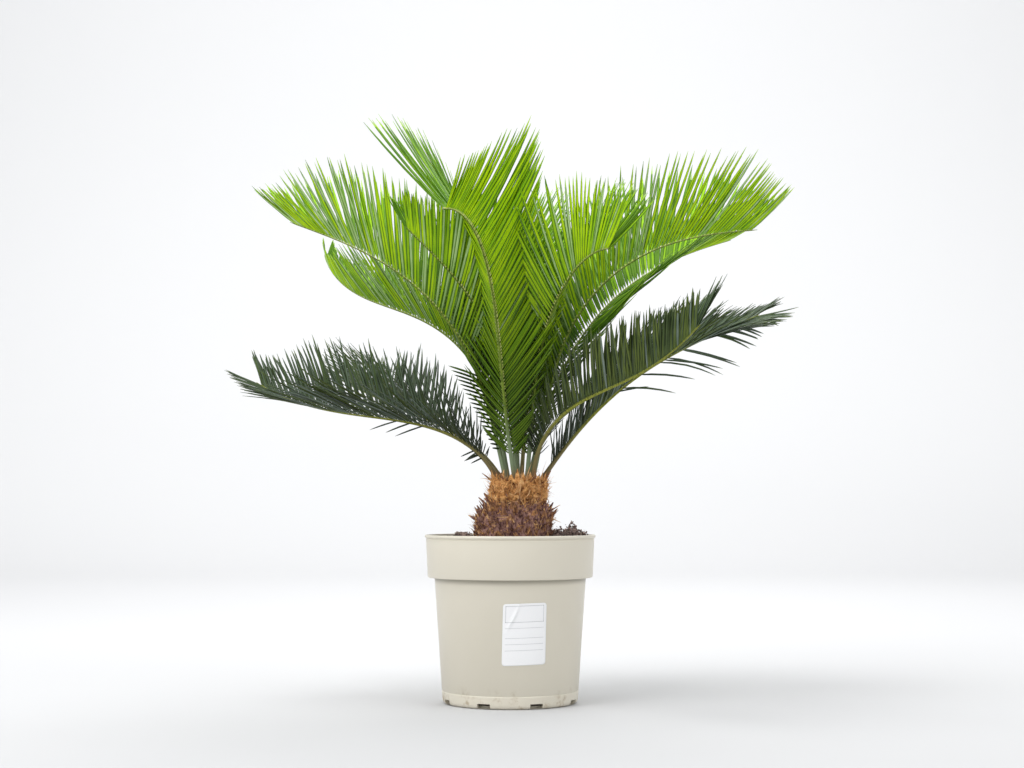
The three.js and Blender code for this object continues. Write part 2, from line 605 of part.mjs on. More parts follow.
// Each leaflet tries to grow at its full length and its natural tilt, then a little aside, then
// shorter, and is skipped where it would still touch something.
function growFrond(frond, space) {
  const { name, courseAt, rings, seed } = frond;
  const spacing = frond.length * (1 - frond.stalk) / LEAFLETS_A_SIDE;
  const growOne = (ring, side) => {
    const index = 2 * ring + (side > 0 ? 1 : 0);
    const t = (ring - STALK_STEPS + 0.5) / LEAFLETS_A_SIDE;
    const { along, left, upper } = courseAt((rings[ring].s + rings[ring + 1].s) / 2);
    const corner = side > 0 ? 0 : 2;
    const [back, front] = [rings[ring].corners[corner], rings[ring + 1].corners[corner]];
    const row = side > 0 ? frond.left : frond.right;
    const hangs = t > 0.4 && chance(index, seed + 3) < (row.droop ?? 0);
    const size = alongRow(row.size, t) * (hangs ? DROOP_SIZE : 1);
    const angle = rad(alongRow(row.spread, t) + 5 * (chance(index, seed) - 0.5));
    const full = frond.leaflet * size * (0.94 + 0.12 * chance(index, seed + 1));
    const vee = alongRow(row.vee, t) + 6 * (chance(index, seed + 2) - 0.5) - (hangs ? DROOP : 0);
    const [forward, lift] = hangs ? DROOP_BOW : frond.bow;
    for (const share of [1, 0.85, 0.7, 0.55, 0.4]) {
      for (const lean of [0, 8, -8, 16, -16, 24]) {
        const tilt = rad(vee + lean);
        const way = along.clone().multiplyScalar(Math.cos(angle))
          .addScaledVector(left, side * Math.sin(angle) * Math.cos(tilt))
          .addScaledVector(upper, Math.sin(angle) * Math.sin(tilt));
        const leaflet = leafletCorners({
          back,
          front,
          way,
          side,
          length: full * share,
          width: Math.max(3.4, LEAFLET_FILL * spacing * Math.sin(angle)) * mix(0.6, 1, share * size),
          bow: along.clone().multiplyScalar(forward).add(point3(0, 0, lift)),
        });
        const whole = leafletProbe(back, front, leaflet, side, 0);
        const outer = leafletProbe(back, front, leaflet, side, 0.2);
        if (space.isFree(name, whole, outer)) {
          space.take(name, whole, outer);
          return leaflet;
        }
      }
    }
    return null;
  };
  const leaflets = [];
  for (let ring = STALK_STEPS; ring < rings.length - 1; ring += 1) {
    leaflets[ring] = { left: growOne(ring, 1), right: growOne(ring, -1) };
  }
  return frondMesh(rings, courseAt, leaflets);
}

// ---------------------------------------------------------------- assembly
const palm = new THREE.Group();

function add(name, geometry, color, roughness) {
  const material = new THREE.MeshStandardMaterial({ color, roughness, metalness: 0 });
  const mesh = new THREE.Mesh(geometry, material);
  mesh.name = name;
  palm.add(mesh);
}

FRONDS.forEach((frond, i) => {
  frond.seed = 20 + 7 * i;
  frond.courseAt = traceRib(frond);
  frond.rings = ribRings(frond, frond.courseAt);
  frond.rib = solidOf(frondMesh(frond.rings, frond.courseAt, []));
});
const trunk = makeTrunk();
const crownBud = makeCrownBud(trunk, FRONDS.map((frond) => frond.rib));
add('pot', geometryOf(makePot()), 0xcfccbe, 0.55);
add('label', geometryOf(makeLabel()), 0xf2f2f0, 0.5);
add('soil', geometryOf(makeSoil()), 0x50413d, 0.95);
add('trunk', geometryOf(trunk), 0x4a3430, 0.9);
add('crown_bud', geometryOf(crownBud), 0xaa7848, 0.95);

const space = new Space();
space.take('trunk', trunk);
space.take('crown_bud', crownBud);
FRONDS.forEach((frond) => space.take(frond.name, frond.rib));
FRONDS.forEach((frond) => add(frond.name, growFrond(frond, space), frond.color, 0.45));

export default palm;
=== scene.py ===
# %% [markdown]
# # A young sago palm in its nursery pot
# The palm stands on the flat underside of its pot. The CAD model gives every size, and this file
# dresses it: broad CAD leaflets become narrow ones, the trunk gets its old leaf bases and its wool,
# the soil gets crumbs, and the pot and its sticker get smooth walls and finishes.
# Loading the frame comes first, because it brings in the CAD solids that everything must fit.

# %% Load the CAD model as the frame
from math import copysign, cos, exp, hypot, pi, radians, sin, sqrt

import bpy
import numpy as np
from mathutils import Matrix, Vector, noise


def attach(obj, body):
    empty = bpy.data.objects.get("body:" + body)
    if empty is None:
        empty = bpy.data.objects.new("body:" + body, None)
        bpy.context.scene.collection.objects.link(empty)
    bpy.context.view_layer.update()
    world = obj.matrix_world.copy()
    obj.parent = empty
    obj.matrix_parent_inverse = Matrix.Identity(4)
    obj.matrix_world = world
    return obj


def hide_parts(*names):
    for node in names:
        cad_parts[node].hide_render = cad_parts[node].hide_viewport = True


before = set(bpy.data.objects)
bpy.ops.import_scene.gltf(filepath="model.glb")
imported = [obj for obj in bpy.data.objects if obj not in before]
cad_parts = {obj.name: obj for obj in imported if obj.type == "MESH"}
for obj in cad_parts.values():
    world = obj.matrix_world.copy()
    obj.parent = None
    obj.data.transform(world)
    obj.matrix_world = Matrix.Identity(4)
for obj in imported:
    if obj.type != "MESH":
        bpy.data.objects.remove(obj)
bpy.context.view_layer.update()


# %% [markdown]
# ## Camera, light and floor
# The camera stands about two metres in front of the pot, a little above its rim, and looks slightly
# up. The floor sweeps up into a wall, as a paper roll does in a studio, so that there is no horizon
# line. Large lamps far away give the soft light of an overcast day.

# %% The camera
CAMERA_PLACE = (0.002, -1.956, 0.2226)
CAMERA_TURN = 93.82

bpy.ops.object.camera_add(location=CAMERA_PLACE, rotation=(radians(CAMERA_TURN), 0, 0))
camera = bpy.context.object
camera.data.lens = 61.5
camera.data.sensor_width = 36
bpy.context.scene.camera = camera
bpy.context.scene.view_settings.view_transform = "Standard"
print("lens:", camera.data.lens, "mm")

# %% The lamps
# Each lamp's place, the point that it shines at, its side in metres and its power in watts.
LAMPS = {
    "lamp_above": ((-0.9, -0.5, 3.0), (0, 0, 0.4), 1.5, 54),
    "lamp_left": ((-2.2, -2.3, 2.2), (0, 0, 0.3), 2.2, 54),
    "lamp_right": ((2.6, -1.8, 2.0), (0, 0, 0.3), 2.2, 31),
    "lamp_behind": ((0.6, 1.8, 2.6), (0, 0, 0.4), 1.8, 32),
    "lamp_wall": ((0, 1.4, 3.6), (0, 5.6, 0.8), 4.0, 116),
}
for lamp_name, (place, target, side, watts) in LAMPS.items():
    bpy.ops.object.light_add(type="AREA", location=place)
    lamp = bpy.context.object
    lamp.name = lamp_name
    lamp.data.size = side
    lamp.data.energy = watts
    lamp.rotation_euler = (Vector(target) - Vector(place)).to_track_quat("-Z", "Y").to_euler()

world = bpy.data.worlds.new("overcast_sky")
world.use_nodes = True
sky = world.node_tree.nodes["Background"].inputs
sky["Color"].default_value = (0.98, 0.985, 1.0, 1)
sky["Strength"].default_value = 0.6
bpy.context.scene.world = world
print("lamps:", len(LAMPS))

# %% The paper sweep
def deselect():
    bpy.ops.object.select_all(action="DESELECT")


def make_active(piece):
    """Selects one piece alone and makes it the one that operators work on."""
    deselect()
    piece.select_set(True)
    bpy.context.view_layer.objects.active = piece


def start_editing(piece):
    """Opens one piece in edit mode with everything selected."""
    make_active(piece)
    bpy.ops.object.mode_set(mode="EDIT")
    bpy.ops.mesh.select_all(action="SELECT")


def extrude_by(x, y, z):
    bpy.ops.mesh.extrude_region_move(TRANSFORM_OT_translate={"value": (x, y, z)})


FLOOR_SIDE = 16
FLOOR_MIDDLE_Y = -4.6
WALL_HEIGHT = 5
SWEEP_BEND = 3.0
SWEEP_STEPS = 20
SWEEP_RUN = SWEEP_BEND * pi / 2 / SWEEP_STEPS
deselect()
bpy.ops.mesh.primitive_plane_add(size=FLOOR_SIDE, location=(0, FLOOR_MIDDLE_Y, 0))
floor = bpy.context.object
floor.name = "paper_sweep"
bpy.ops.object.transform_apply()
start_editing(floor)
bpy.ops.mesh.select_mode(type="EDGE")
bpy.ops.mesh.select_all(action="DESELECT")
bpy.ops.object.mode_set(mode="OBJECT")
for edge in floor.data.edges:
    edge.select = all(floor.data.vertices[v].co.y > 0 for v in edge.vertices)
bpy.ops.object.mode_set(mode="EDIT")
for step in range(SWEEP_STEPS):
    turn = (step + 0.5) / SWEEP_STEPS * pi / 2
    extrude_by(0, SWEEP_RUN * cos(turn), SWEEP_RUN * sin(turn))
extrude_by(0, 0, WALL_HEIGHT)
bpy.ops.object.mode_set(mode="OBJECT")
bpy.ops.object.shade_smooth()
print("sweep faces:", len(floor.data.polygons))

# %% [markdown]
# ## Writing materials as sums
# A material is a graph of nodes. Wiring it by hand in code is long, so a small class wraps one
# output socket: adding or multiplying two wires adds the Math node for it, and one method adds any
# other node. Patterns read Object coordinates, in metres, or the piece's own map, so they sit still
# on the piece.

# %% A wire of a material
class Wire:
    """One output socket of a material's nodes. Arithmetic on wires adds Math nodes."""

    def __init__(self, tree, socket=None):
        self.tree = tree
        self.socket = socket

    def node(self, kind, settings=None, inputs=None, output=0):
        made = self.tree.nodes.new("ShaderNode" + kind)
        for key, value in (settings or {}).items():
            if key == "stops":
                ramp = made.color_ramp
                ramp.elements[0].position = value[0][0]
                ramp.elements[-1].position = value[-1][0]
                for position, _ in value[1:-1]:
                    ramp.elements.new(position)
                for element, (_, color) in zip(ramp.elements, value):
                    element.color = (*color, 1)
            else:
                setattr(made, key, value)
        for key, value in (inputs or {}).items():
            if isinstance(value, Wire):
                self.tree.links.new(value.socket, made.inputs[key])
            else:
                made.inputs[key].default_value = value
        return Wire(self.tree, made.outputs[output])

    def math(self, operation, first, second):
        return self.node("Math", {"operation": operation}, {0: first, 1: second})

    def __add__(self, other):
        return self.math("ADD", self, other)

    def __sub__(self, other):
        return self.math("SUBTRACT", self, other)

    def __rsub__(self, other):
        return self.math("SUBTRACT", other, self)

    def __mul__(self, other):
        return self.math("MULTIPLY", self, other)

    def __gt__(self, other):
        return self.math("GREATER_THAN", self, other)

    __radd__ = __add__
    __rmul__ = __mul__

    def noise(self, scale, detail=3.0, roughness=0.5):
        """Cloudy noise from 0 to 1, with scale cycles to the metre."""
        return self.node("TexNoise", {}, {"Vector": self, "Scale": scale, "Detail": detail,
                                          "Roughness": roughness})

    def fade(self, low, high):
        """0 below low, 1 above high and a smooth ramp between them."""
        return self.node("MapRange", {"interpolation_type": "SMOOTHSTEP"},
                         {"Value": self, "From Min": low, "From Max": high})

    def ramp(self, *stops):
        return self.node("ValToRGB", {"stops": stops}, {"Fac": self})

    def blend(self, first, second):
        """The first colour where this wire is 0 and the second where it is 1."""
        ends = [value if isinstance(value, Wire) else (*value, 1) for value in (first, second)]
        return self.node("Mix", {"data_type": "RGBA"}, {0: self, 6: ends[0], 7: ends[1]}, output=2)

    def stretched(self, x, y, z):
        return self.node("Mapping", {}, {"Vector": self, "Scale": (x, y, z)})

    def axis(self, letter):
        return self.node("SeparateXYZ", {}, {"Vector": self}, output=letter)

    def height(self):
        return self.axis("Z")


def finish_with(name, recipe, *tones):
    """A material. Its recipe takes the piece's own coordinates and its tones, and fills sockets."""
    material = bpy.data.materials.new(name)
    material.use_nodes = True
    tree = material.node_tree
    skin = tree.nodes["Principled BSDF"]
    place = Wire(tree).node("TexCoord", output="Object")
    for key, value in recipe(place, *tones).items():
        if key == "Bump":
            wire, depth = value
            value = place.node("Bump", {}, {"Height": wire, "Strength": 1.0, "Distance": depth})
            key = "Normal"
        if isinstance(value, Wire):
            tree.links.new(value.socket, skin.inputs[key])
        else:
            skin.inputs[key].default_value = value
    return material


def finishes(recipe, *table):
    """One material for each row of the table, which has its name and its tones."""
    return [finish_with(name, recipe, *tones) for name, *tones in table]


def coat(piece, finish):
    """Gives the whole piece one finish."""
    piece.data.materials.clear()
    piece.data.materials.append(finish)


def paper(place):
    """Grey paper under the plant, where the lamps are near, and paler paper on the wall behind."""
    return {
        "Base Color": place.axis("Y").fade(1.2, 6.2).blend((0.52, 0.523, 0.53), (0.9, 0.905, 0.91)),
        "Roughness": 0.9,
    }


coat(floor, finish_with("pale_paper", paper))
print("materials:", len(bpy.data.materials))

# %% [markdown]
# ## Throwing round pieces
# The pot, the soil and the trunk are all round about an upright line. A potter would throw them on a
# wheel. In Blender a disc is extruded and resized again and again, each time to the next radius and
# height of the outline.

# %% The wheel
MM = 0.001
RIM_SIDES = 128
WHEEL_SMOOTH = 40


def close_edit(piece, smooth_angle):
    """Turns the faces outwards, leaves edit mode and smooths edges up to an angle in degrees."""
    bpy.ops.mesh.select_all(action="SELECT")
    bpy.ops.mesh.normals_make_consistent(inside=False)
    bpy.ops.object.mode_set(mode="OBJECT")
    bpy.ops.object.transform_apply()
    bpy.ops.object.shade_smooth_by_angle(angle=radians(smooth_angle))
    return piece


def throw_on_wheel(name, outline, sides):
    """A round piece through (radius, height) pairs in millimetres, closed at both ends."""
    deselect()
    radius, height = outline[0]
    bpy.ops.mesh.primitive_circle_add(vertices=sides, radius=radius * MM, fill_type="NGON",
                                      location=(0, 0, height * MM))
    piece = bpy.context.object
    piece.name = name
    start_editing(piece)
    for next_radius, next_height in outline[1:]:
        extrude_by(0, 0, (next_height - height) * MM)
        bpy.ops.transform.resize(value=(next_radius / radius, next_radius / radius, 1))
        radius, height = next_radius, next_height
    return close_edit(piece, WHEEL_SMOOTH)


def mix(a, b, t):
    return a + (b - a) * t


def ease(value, low, high):
    """0 below low, 1 above high and a smooth step between them."""
    t = min(max((value - low) / (high - low), 0.0), 1.0)
    return t * t * (3 - 2 * t)


print("sides of a round rim:", RIM_SIDES)

# %% [markdown]
# ## The pot
# A nursery pot is injection moulded: a thin tapering wall, a wide band that makes it stiff, a small
# lip, and drain slots where the wall meets the floor. One outline goes up the outside, over the lip
# and down the inside. Short steps at the corners give them their moulded rounds.

# %% The pot's outline
POT_HEIGHT = 185
FOOT_RADIUS = 75
SHOULDER_RADIUS = 84
LIP_RADIUS = 95
WALL = 2
FOOT_ROUND = 5
GROOVE_HEIGHT = 14
BAND_FOOT = 138
BAND_TOP = 181.8
BAND_FOOT_RADIUS = 91.7
BAND_TOP_RADIUS = 93.7


def pot_radius(height):
    """The outer radius of the tapering body."""
    share = (height - FOOT_ROUND) / (BAND_FOOT - FOOT_ROUND)
    return mix(FOOT_RADIUS, SHOULDER_RADIUS, share)


def band_radius(height):
    share = (height - BAND_FOOT) / (BAND_TOP - BAND_FOOT)
    return mix(BAND_FOOT_RADIUS, BAND_TOP_RADIUS, share)


foot = [(FOOT_RADIUS - FOOT_ROUND + FOOT_ROUND * sin(turn), FOOT_ROUND * (1 - cos(turn)))
        for turn in map(radians, range(0, 91, 15))]
groove = [(pot_radius(GROOVE_HEIGHT) + offset, GROOVE_HEIGHT + rise)
          for rise, offset in ((-0.8, 0), (-0.3, -0.4), (0.3, -0.4), (0.8, 0.05))]
shoulder = [(SHOULDER_RADIUS, 136.6), (84.4, 137.6), (85.2, BAND_FOOT), (90.4, BAND_FOOT), (91.2, 138.3),
            (BAND_FOOT_RADIUS, 139.2)]
neck = [(band_radius(180.2), 180.2), (band_radius(180.4) - 0.4, 180.5), (band_radius(181) - 0.4, 181.1)]
lip = [(94.2, 181.7), (94.8, 182.2), (LIP_RADIUS, 182.9), (LIP_RADIUS, 183.7), (94.7, 184.5),
       (94.1, POT_HEIGHT), (92.7, POT_HEIGHT), (92.2, 184.7), (92, 184.1)]
inside = [(band_radius(150) - WALL, 150), (89.7, 140.6), (89, 140), (82.4, 140), (82, 139.4),
          (pot_radius(8) - WALL, 8), (pot_radius(4) - WALL - 3, 3.2), (66, 3)]
pot = throw_on_wheel("nursery_pot", [*foot, *groove, *shoulder, *neck, *lip, *inside], RIM_SIDES)
print("pot faces:", len(pot.data.polygons))

# %% The drain slots
DRAIN_SLOTS = 8
SLOT_REACH = 0.073
SLOT_HEIGHT = 0.0034
SLOT_SIZE = (0.014, 0.015, 0.005)
deselect()
cutters = []
for index in range(DRAIN_SLOTS):
    azimuth = 2 * pi * (index + 0.5) / DRAIN_SLOTS
    middle = (SLOT_REACH * cos(azimuth), SLOT_REACH * sin(azimuth), SLOT_HEIGHT)
    bpy.ops.mesh.primitive_cube_add(size=1, location=middle, rotation=(0, 0, azimuth), scale=SLOT_SIZE)
    cutters.append(bpy.context.object)
for cutter in cutters:
    cutter.select_set(True)
bpy.ops.object.join()
slots = bpy.context.object
bpy.ops.object.transform_apply()
make_active(pot)
cut = pot.modifiers.new("drains", "BOOLEAN")
cut.object = slots
cut.solver = "EXACT"
bpy.ops.object.modifier_apply(modifier=cut.name)
bpy.data.objects.remove(slots)
bpy.ops.object.shade_smooth_by_angle(angle=radians(WHEEL_SMOOTH))
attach(pot, "root")
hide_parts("pot")
print("pot faces with its drains:", len(pot.data.polygons))

# %% Moulded plastic
def moulded_plastic(place):
    """Cream plastic with a satin skin, faint clouds, painted shade under the band and grime at the foot.
    """
    clouds = place.noise(14.0, 2.0)
    grain = place.noise(900.0, 2.0)
    scuffs = place.stretched(1, 1, 9).noise(60.0, 4.0, 0.65).fade(0.6, 0.74)
    splash = place.noise(60.0, 5.0, 0.65).fade(0.5, 0.68) * (1 - place.height().fade(0.004, 0.026))
    # Painted shade in the corner under the band, darkest just below the band's lower edge.
    band_shade = place.height().fade(0.1305, 0.1378) * (1 - place.height().fade(0.1378, 0.1382))
    fresh = clouds.blend((0.675, 0.632, 0.525), (0.73, 0.687, 0.578))
    scuffed = (scuffs * 0.35).blend(fresh, (0.70, 0.67, 0.6))
    band_shaded = (band_shade * 0.62).blend(scuffed, (0.2, 0.18, 0.13))
    return {
        "Base Color": (splash * 0.7).blend(band_shaded, (0.34, 0.25, 0.13)),
        "Roughness": 0.36 + clouds * 0.12 + scuffs * 0.18 + splash * 0.2,
        "Bump": (grain * 0.5 + clouds, 0.00012),
        "Coat Weight": 0.08,
    }


coat(pot, finish_with("cream_pot_plastic", moulded_plastic))
print("pot finish:", pot.data.materials[0].name)

# %% [markdown]
# ## The sticker
# The sticker is thin paper, wrapped on the tapering wall. A flat grid is easiest to shape: its
# corners are rounded while it is flat, and then every point is moved on to the wall. A low crease
# runs across one corner. The sticker carries only a ruled empty form.

# %% The sticker's sheet
STICKER = {"width": 48, "height": 66, "corner": 3.2, "azimuth": 281.5, "middle": 80.5, "tilt": 1.5}
STICKER_LIFT = 0.45
STICKER_THICK = 0.22
STICKER_SMOOTH = 60
# How far a point moves to the right for each millimetre above the height that keeps its place.
STICKER_SKEW = 0.035
SKEW_MIDDLE = 12
CREASE = {"x": -12.5, "y": 18, "tall": 1.5, "half_width": 1.5, "half_length": 13}


def round_corner(x, y):
    """Moves a point of the sheet's corner squares on to the round corner."""
    inner_x, inner_y = (STICKER[side] / 2 - STICKER["corner"] for side in ("width", "height"))
    over_x, over_y = abs(x) - inner_x, abs(y) - inner_y
    if over_x > 0 and over_y > 0:
        shrink = max(over_x, over_y) / hypot(over_x, over_y)
        x = copysign(inner_x + over_x * shrink, x)
        y = copysign(inner_y + over_y * shrink, y)
    return x, y


def crease(x, y):
    """The height of the fold that slants across the upper left corner."""
    x, y = x - CREASE["x"], y - CREASE["y"]
    across = (x * 0.9 - y * 0.42) / CREASE["half_width"]
    along = (x * 0.42 + y * 0.9) / CREASE["half_length"]
    return CREASE["tall"] * exp(-across ** 2) * exp(-along ** 2)


deselect()
bpy.ops.mesh.primitive_grid_add(x_subdivisions=STICKER["width"], y_subdivisions=STICKER["height"], size=1)
sticker = bpy.context.object
sticker.name = "bare_sticker"
sticker.data.uv_layers.active.name = "sheet"
tilt = radians(STICKER["tilt"])
for vertex in sticker.data.vertices:
    x, y = round_corner(vertex.co.x * STICKER["width"], vertex.co.y * STICKER["height"])
    skewed = x + STICKER_SKEW * (y - SKEW_MIDDLE)
    across = skewed * cos(tilt) - y * sin(tilt)
    height = STICKER["middle"] + (skewed * sin(tilt) + y * cos(tilt))
    radius = pot_radius(height) + STICKER_LIFT + crease(x, y)
    turn = radians(STICKER["azimuth"]) + across / pot_radius(height)
    vertex.co = Vector((radius * cos(turn), radius * sin(turn), height)) * MM
start_editing(sticker)
close_edit(sticker, STICKER_SMOOTH)
wall = sticker.modifiers.new("paper", "SOLIDIFY")
wall.thickness = STICKER_THICK * MM
wall.offset = 0
bpy.ops.object.modifier_apply(modifier=wall.name)
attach(sticker, "root")
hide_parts("label")
print("sticker faces:", len(sticker.data.polygons))

# %% Sticker paper
# The two edges of each ruled line, as shares of the sheet.
BOX_RULES = ((0.695, 0.705), (0.955, 0.965))
EMPTY_LINES = ((0.6, 0.607), (0.44, 0.447), (0.34, 0.347), (0.24, 0.247))
BOX_SIDES = ((0.06, 0.073), (0.925, 0.938))


def sticker_paper(place):
    """White coated paper with a thin ruled box and a few empty lines."""
    sheet = place.node("UVMap", {"uv_map": "sheet"})
    along, up = sheet.axis("X"), sheet.axis("Y")

    def between(wire, low, high):
        return (wire > low) * (high - wire > 0)

    rules = sum(between(up, *edges) for edges in (*BOX_RULES, *EMPTY_LINES))
    sides = sum(between(along, *edges) for edges in BOX_SIDES)
    in_width = between(along, BOX_SIDES[0][0], BOX_SIDES[1][1])
    in_box = between(up, BOX_RULES[0][0], BOX_RULES[1][1])
    ink = rules * in_width + sides * in_box
    fibres = place.noise(700.0, 3.0)
    white = fibres.blend((0.84, 0.85, 0.87), (0.9, 0.9, 0.9))
    return {
        "Base Color": (ink * 0.5).blend(white, (0.25, 0.26, 0.28)),
        "Roughness": 0.42 + fibres * 0.1,
        "Bump": (fibres, 0.00004),
    }


coat(sticker, finish_with("sticker_paper", sticker_paper))
print("sticker finish:", sticker.data.materials[0].name)

# %% [markdown]
# ## The soil
# Potting soil is peat and bark crumbs. Its top is thrown as many fine rings, and then each point is
# lifted by the heap round the trunk, the loose clumps at the right and left, and noise. Real crumbs
# lie on it: one rough ball is copied, turned and resized many times, and joined in one mesh.

# %% The bed of soil
SOIL_LEVEL = 177
SOIL_HEAP = 181
SOIL_SIDES = 144
TRUNK_FOOT_X = 2.5
# Each mound's middle, x and y, and how wide and how tall it is.
MOUNDS = ((70, -14, 15, 9), (60, 22, 14, 6), (-54, -18, 11, 4))


def soil_height(x, y):
    from_trunk = hypot(x - TRUNK_FOOT_X, y)
    height = mix(SOIL_HEAP, SOIL_LEVEL, ease(from_trunk, 41, 84))
    mounds = sum(tall * exp(-((x - cx) ** 2 + (y - cy) ** 2) / wide ** 2)
                 for cx, cy, wide, tall in MOUNDS)
    return height + mounds


def lumps(point, coarseness):
    return noise.noise(Vector(point) * coarseness)


soil_outline = [(64, 3.4), (pot_radius(8) - 3, 8), (80.8, 138), (81, 140.5), (88.5, 140.8)]
soil_outline += [(89.9 - 1.9 * ring, SOIL_LEVEL) for ring in range(46)]
soil = throw_on_wheel("potting_soil", soil_outline, SOIL_SIDES)
for vertex in soil.data.vertices:
    x, y, z = vertex.co / MM
    if z > SOIL_LEVEL - 1:
        rough = 1.5 * lumps((x, y, 0), 0.09) + lumps((x, y, 7), 0.33)
        vertex.co.z = (soil_height(x, y) + rough - 0.5) * MM
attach(soil, "root")
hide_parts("soil")
print("soil faces:", len(soil.data.polygons))

# %% Crumbs on the soil
random = np.random.default_rng(19)


def turns(count):
    """Random turns in space, as matrices."""
    matrices, _ = np.linalg.qr(random.normal(size=(count, 3, 3)))
    return matrices * np.sign(np.linalg.det(matrices))[:, None, None]


def place_in_scene(name, data):
    piece = bpy.data.objects.new(name, data)
    bpy.context.collection.objects.link(piece)
    return piece


def mesh_piece(name, points, faces, materials, picks):
    """A piece from points in millimetres, with a material number for each face."""
    mesh = bpy.data.meshes.new(name)
    mesh.from_pydata((points.reshape(-1, 3) * MM).tolist(), [], faces)
    for material in materials:
        mesh.materials.append(material)
    mesh.polygons.foreach_set("material_index", picks.astype(np.int32))
    return place_in_scene(name, mesh)


bpy.ops.mesh.primitive_ico_sphere_add(subdivisions=1, radius=1)
ball = bpy.context.object
crumb_points = np.array([vertex.co for vertex in ball.data.vertices])
crumb_points = crumb_points * random.uniform(0.55, 1.1, (len(crumb_points), 1))
crumb_faces = np.array([list(face.vertices) for face in ball.data.polygons])
bpy.data.objects.remove(ball)

BED_CRUMBS = 1500
MOUND_CRUMBS = 620
BED_REACH = 88


def crumb_places():
    """Crumbs all over the bed, and loose heaps of them on the mounds."""
    spots = []
    for _ in range(BED_CRUMBS):
        reach, turn = BED_REACH * sqrt(random.uniform(0.2, 1)), random.uniform(0, 2 * pi)
        spots.append((reach * cos(turn), reach * sin(turn), random.uniform(-0.6, 1.0)))
    for cx, cy, wide, tall in MOUNDS:
        for _ in range(MOUND_CRUMBS):
            x, y = cx + random.normal() * wide * 0.55, cy + random.normal() * wide * 0.55
            top = 0.85 * tall * max(0.15, 1 + 1.6 * lumps((x, y, 3), 0.16))
            spots.append((x, y, random.uniform(-0.5, top)))
    spots = [spot for spot in spots if hypot(*spot[:2]) < BED_REACH - 1]
    return np.array([(x, y, soil_height(x, y) + rise) for x, y, rise in spots])


def soil_finish(place, dark, light):
    """Moist peat: dark, rough and uneven, in one of a few tones."""
    mottle = place.noise(260.0, 5.0, 0.7)
    return {
        "Base Color": mottle.fade(0.35, 0.7).blend(dark, light),
        "Roughness": 0.82 + mottle * 0.15,
        "Bump": (mottle, 0.0012),
    }


CRUMB_FINISHES = finishes(
    soil_finish,
    ("dark_peat", (0.065, 0.047, 0.042), (0.24, 0.175, 0.155)),
    ("brown_bark_crumb", (0.17, 0.115, 0.1), (0.46, 0.33, 0.28)),
    ("pale_crumb", (0.2, 0.16, 0.12), (0.42, 0.37, 0.3)))
CRUMB_SHARES = (0.45, 0.51, 0.04)
PEAT, BARK_CRUMB, _ = CRUMB_FINISHES
coat(soil, PEAT)
places = crumb_places()
count = len(places)
sizes = random.gamma(3.2, 0.3, count).clip(0.35, 2.2)[:, None, None]
picks = random.choice(3, count, p=CRUMB_SHARES)
points = np.einsum("nij,vj->nvi", turns(count), crumb_points) * sizes + places[:, None, :]
faces = crumb_faces[None] + (np.arange(count) * len(crumb_points))[:, None, None]
crumbs = mesh_piece("soil_crumbs", points, faces.reshape(-1, 3).tolist(), CRUMB_FINISHES,
                    np.repeat(picks, len(crumb_faces)))
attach(crumbs, "root")
print("crumbs:", count)

# %% [markdown]
# ## Blades
# Leaflets, old leaf bases, bud scales and wool hairs are all the same kind of thing: a thin pointed
# blade that grows out of a place in a direction. So one class makes them. It keeps a row of numbers
# for each blade and works on all rows at once, which is much faster than joining thousands of objects.

# %% Joining many blades
BLADE_SMOOTH = 50


def unit(vectors):
    return vectors / np.linalg.norm(vectors, axis=-1, keepdims=True)


def sides_of(way, lean):
    """The direction across a blade that is nearest to lean, and the way that its face looks."""
    across = unit(lean - way * (lean * way).sum(-1, keepdims=True))
    return np.array([across, np.cross(across, way)])


class Blades:
    """A growing list of blades with one cross-section and one outline."""

    def __init__(self, section, outline):
        self.section = np.array(section, float)
        self.outline = np.array(outline, float)
        self.rows = []
        self.slots = []

    def grow(self, root, way, sides, length, width, thick, bow, slots):
        """One blade in millimetres. slots: a material number for each kind of face."""
        self.rows.append([*root, *way, *sides.ravel(), *bow, length, width, thick])
        self.slots.append(slots)

    def join(self, name, materials):
        """All the blades as one piece: its points, its walls, its caps and their finishes."""
        rows = np.array(self.rows)
        root, way, across, upper, bow = (rows[:, 3 * k:3 * k + 3][:, None, None, :] for k in range(5))
        length, width, thick = (rows[:, 15 + k][:, None, None, None] for k in range(3))
        along, wide = (self.outline[:, k][None, :, None, None] for k in range(2))
        side, lift, depth = (self.section[:, k][None, None, :, None] for k in range(3))
        points = (root + way * length * along + bow * length * along ** 2 + across * width * wide * side
                  + upper * (width * wide * lift + thick * (0.35 + 0.65 * wide) * depth))
        stations, corners = len(self.outline), len(self.section)
        step, corner = np.divmod(np.arange((stations - 1) * corners), corners)
        following = (corner + 1) % corners
        walls = np.stack([step * corners + corner, step * corners + following,
                          (step + 1) * corners + following, (step + 1) * corners + corner], -1)
        caps = np.array([np.arange(corners)[::-1], (stations - 1) * corners + np.arange(corners)])
        starts = (np.arange(len(rows)) * stations * corners)[:, None, None]
        faces = (walls + starts).reshape(-1, 4).tolist() + (caps + starts).reshape(-1, corners).tolist()
        kind = self.section[corner, 3].astype(int)
        kind[step == stations - 2] = TIP
        kind[step == 0] = FOOT
        slots = np.array(self.slots)
        picks = np.concatenate([slots[:, kind].reshape(-1), slots[:, [FOOT, TIP]].reshape(-1)])
        piece = mesh_piece(name, points, faces, materials, picks)
        make_active(piece)
        bpy.ops.object.shade_smooth_by_angle(angle=radians(BLADE_SMOOTH))
        return piece


# The kinds of face on a blade, each with a material number of its own.
FOOT, TIP, FACE, BACK, FACE_MARGIN, BACK_MARGIN = range(6)
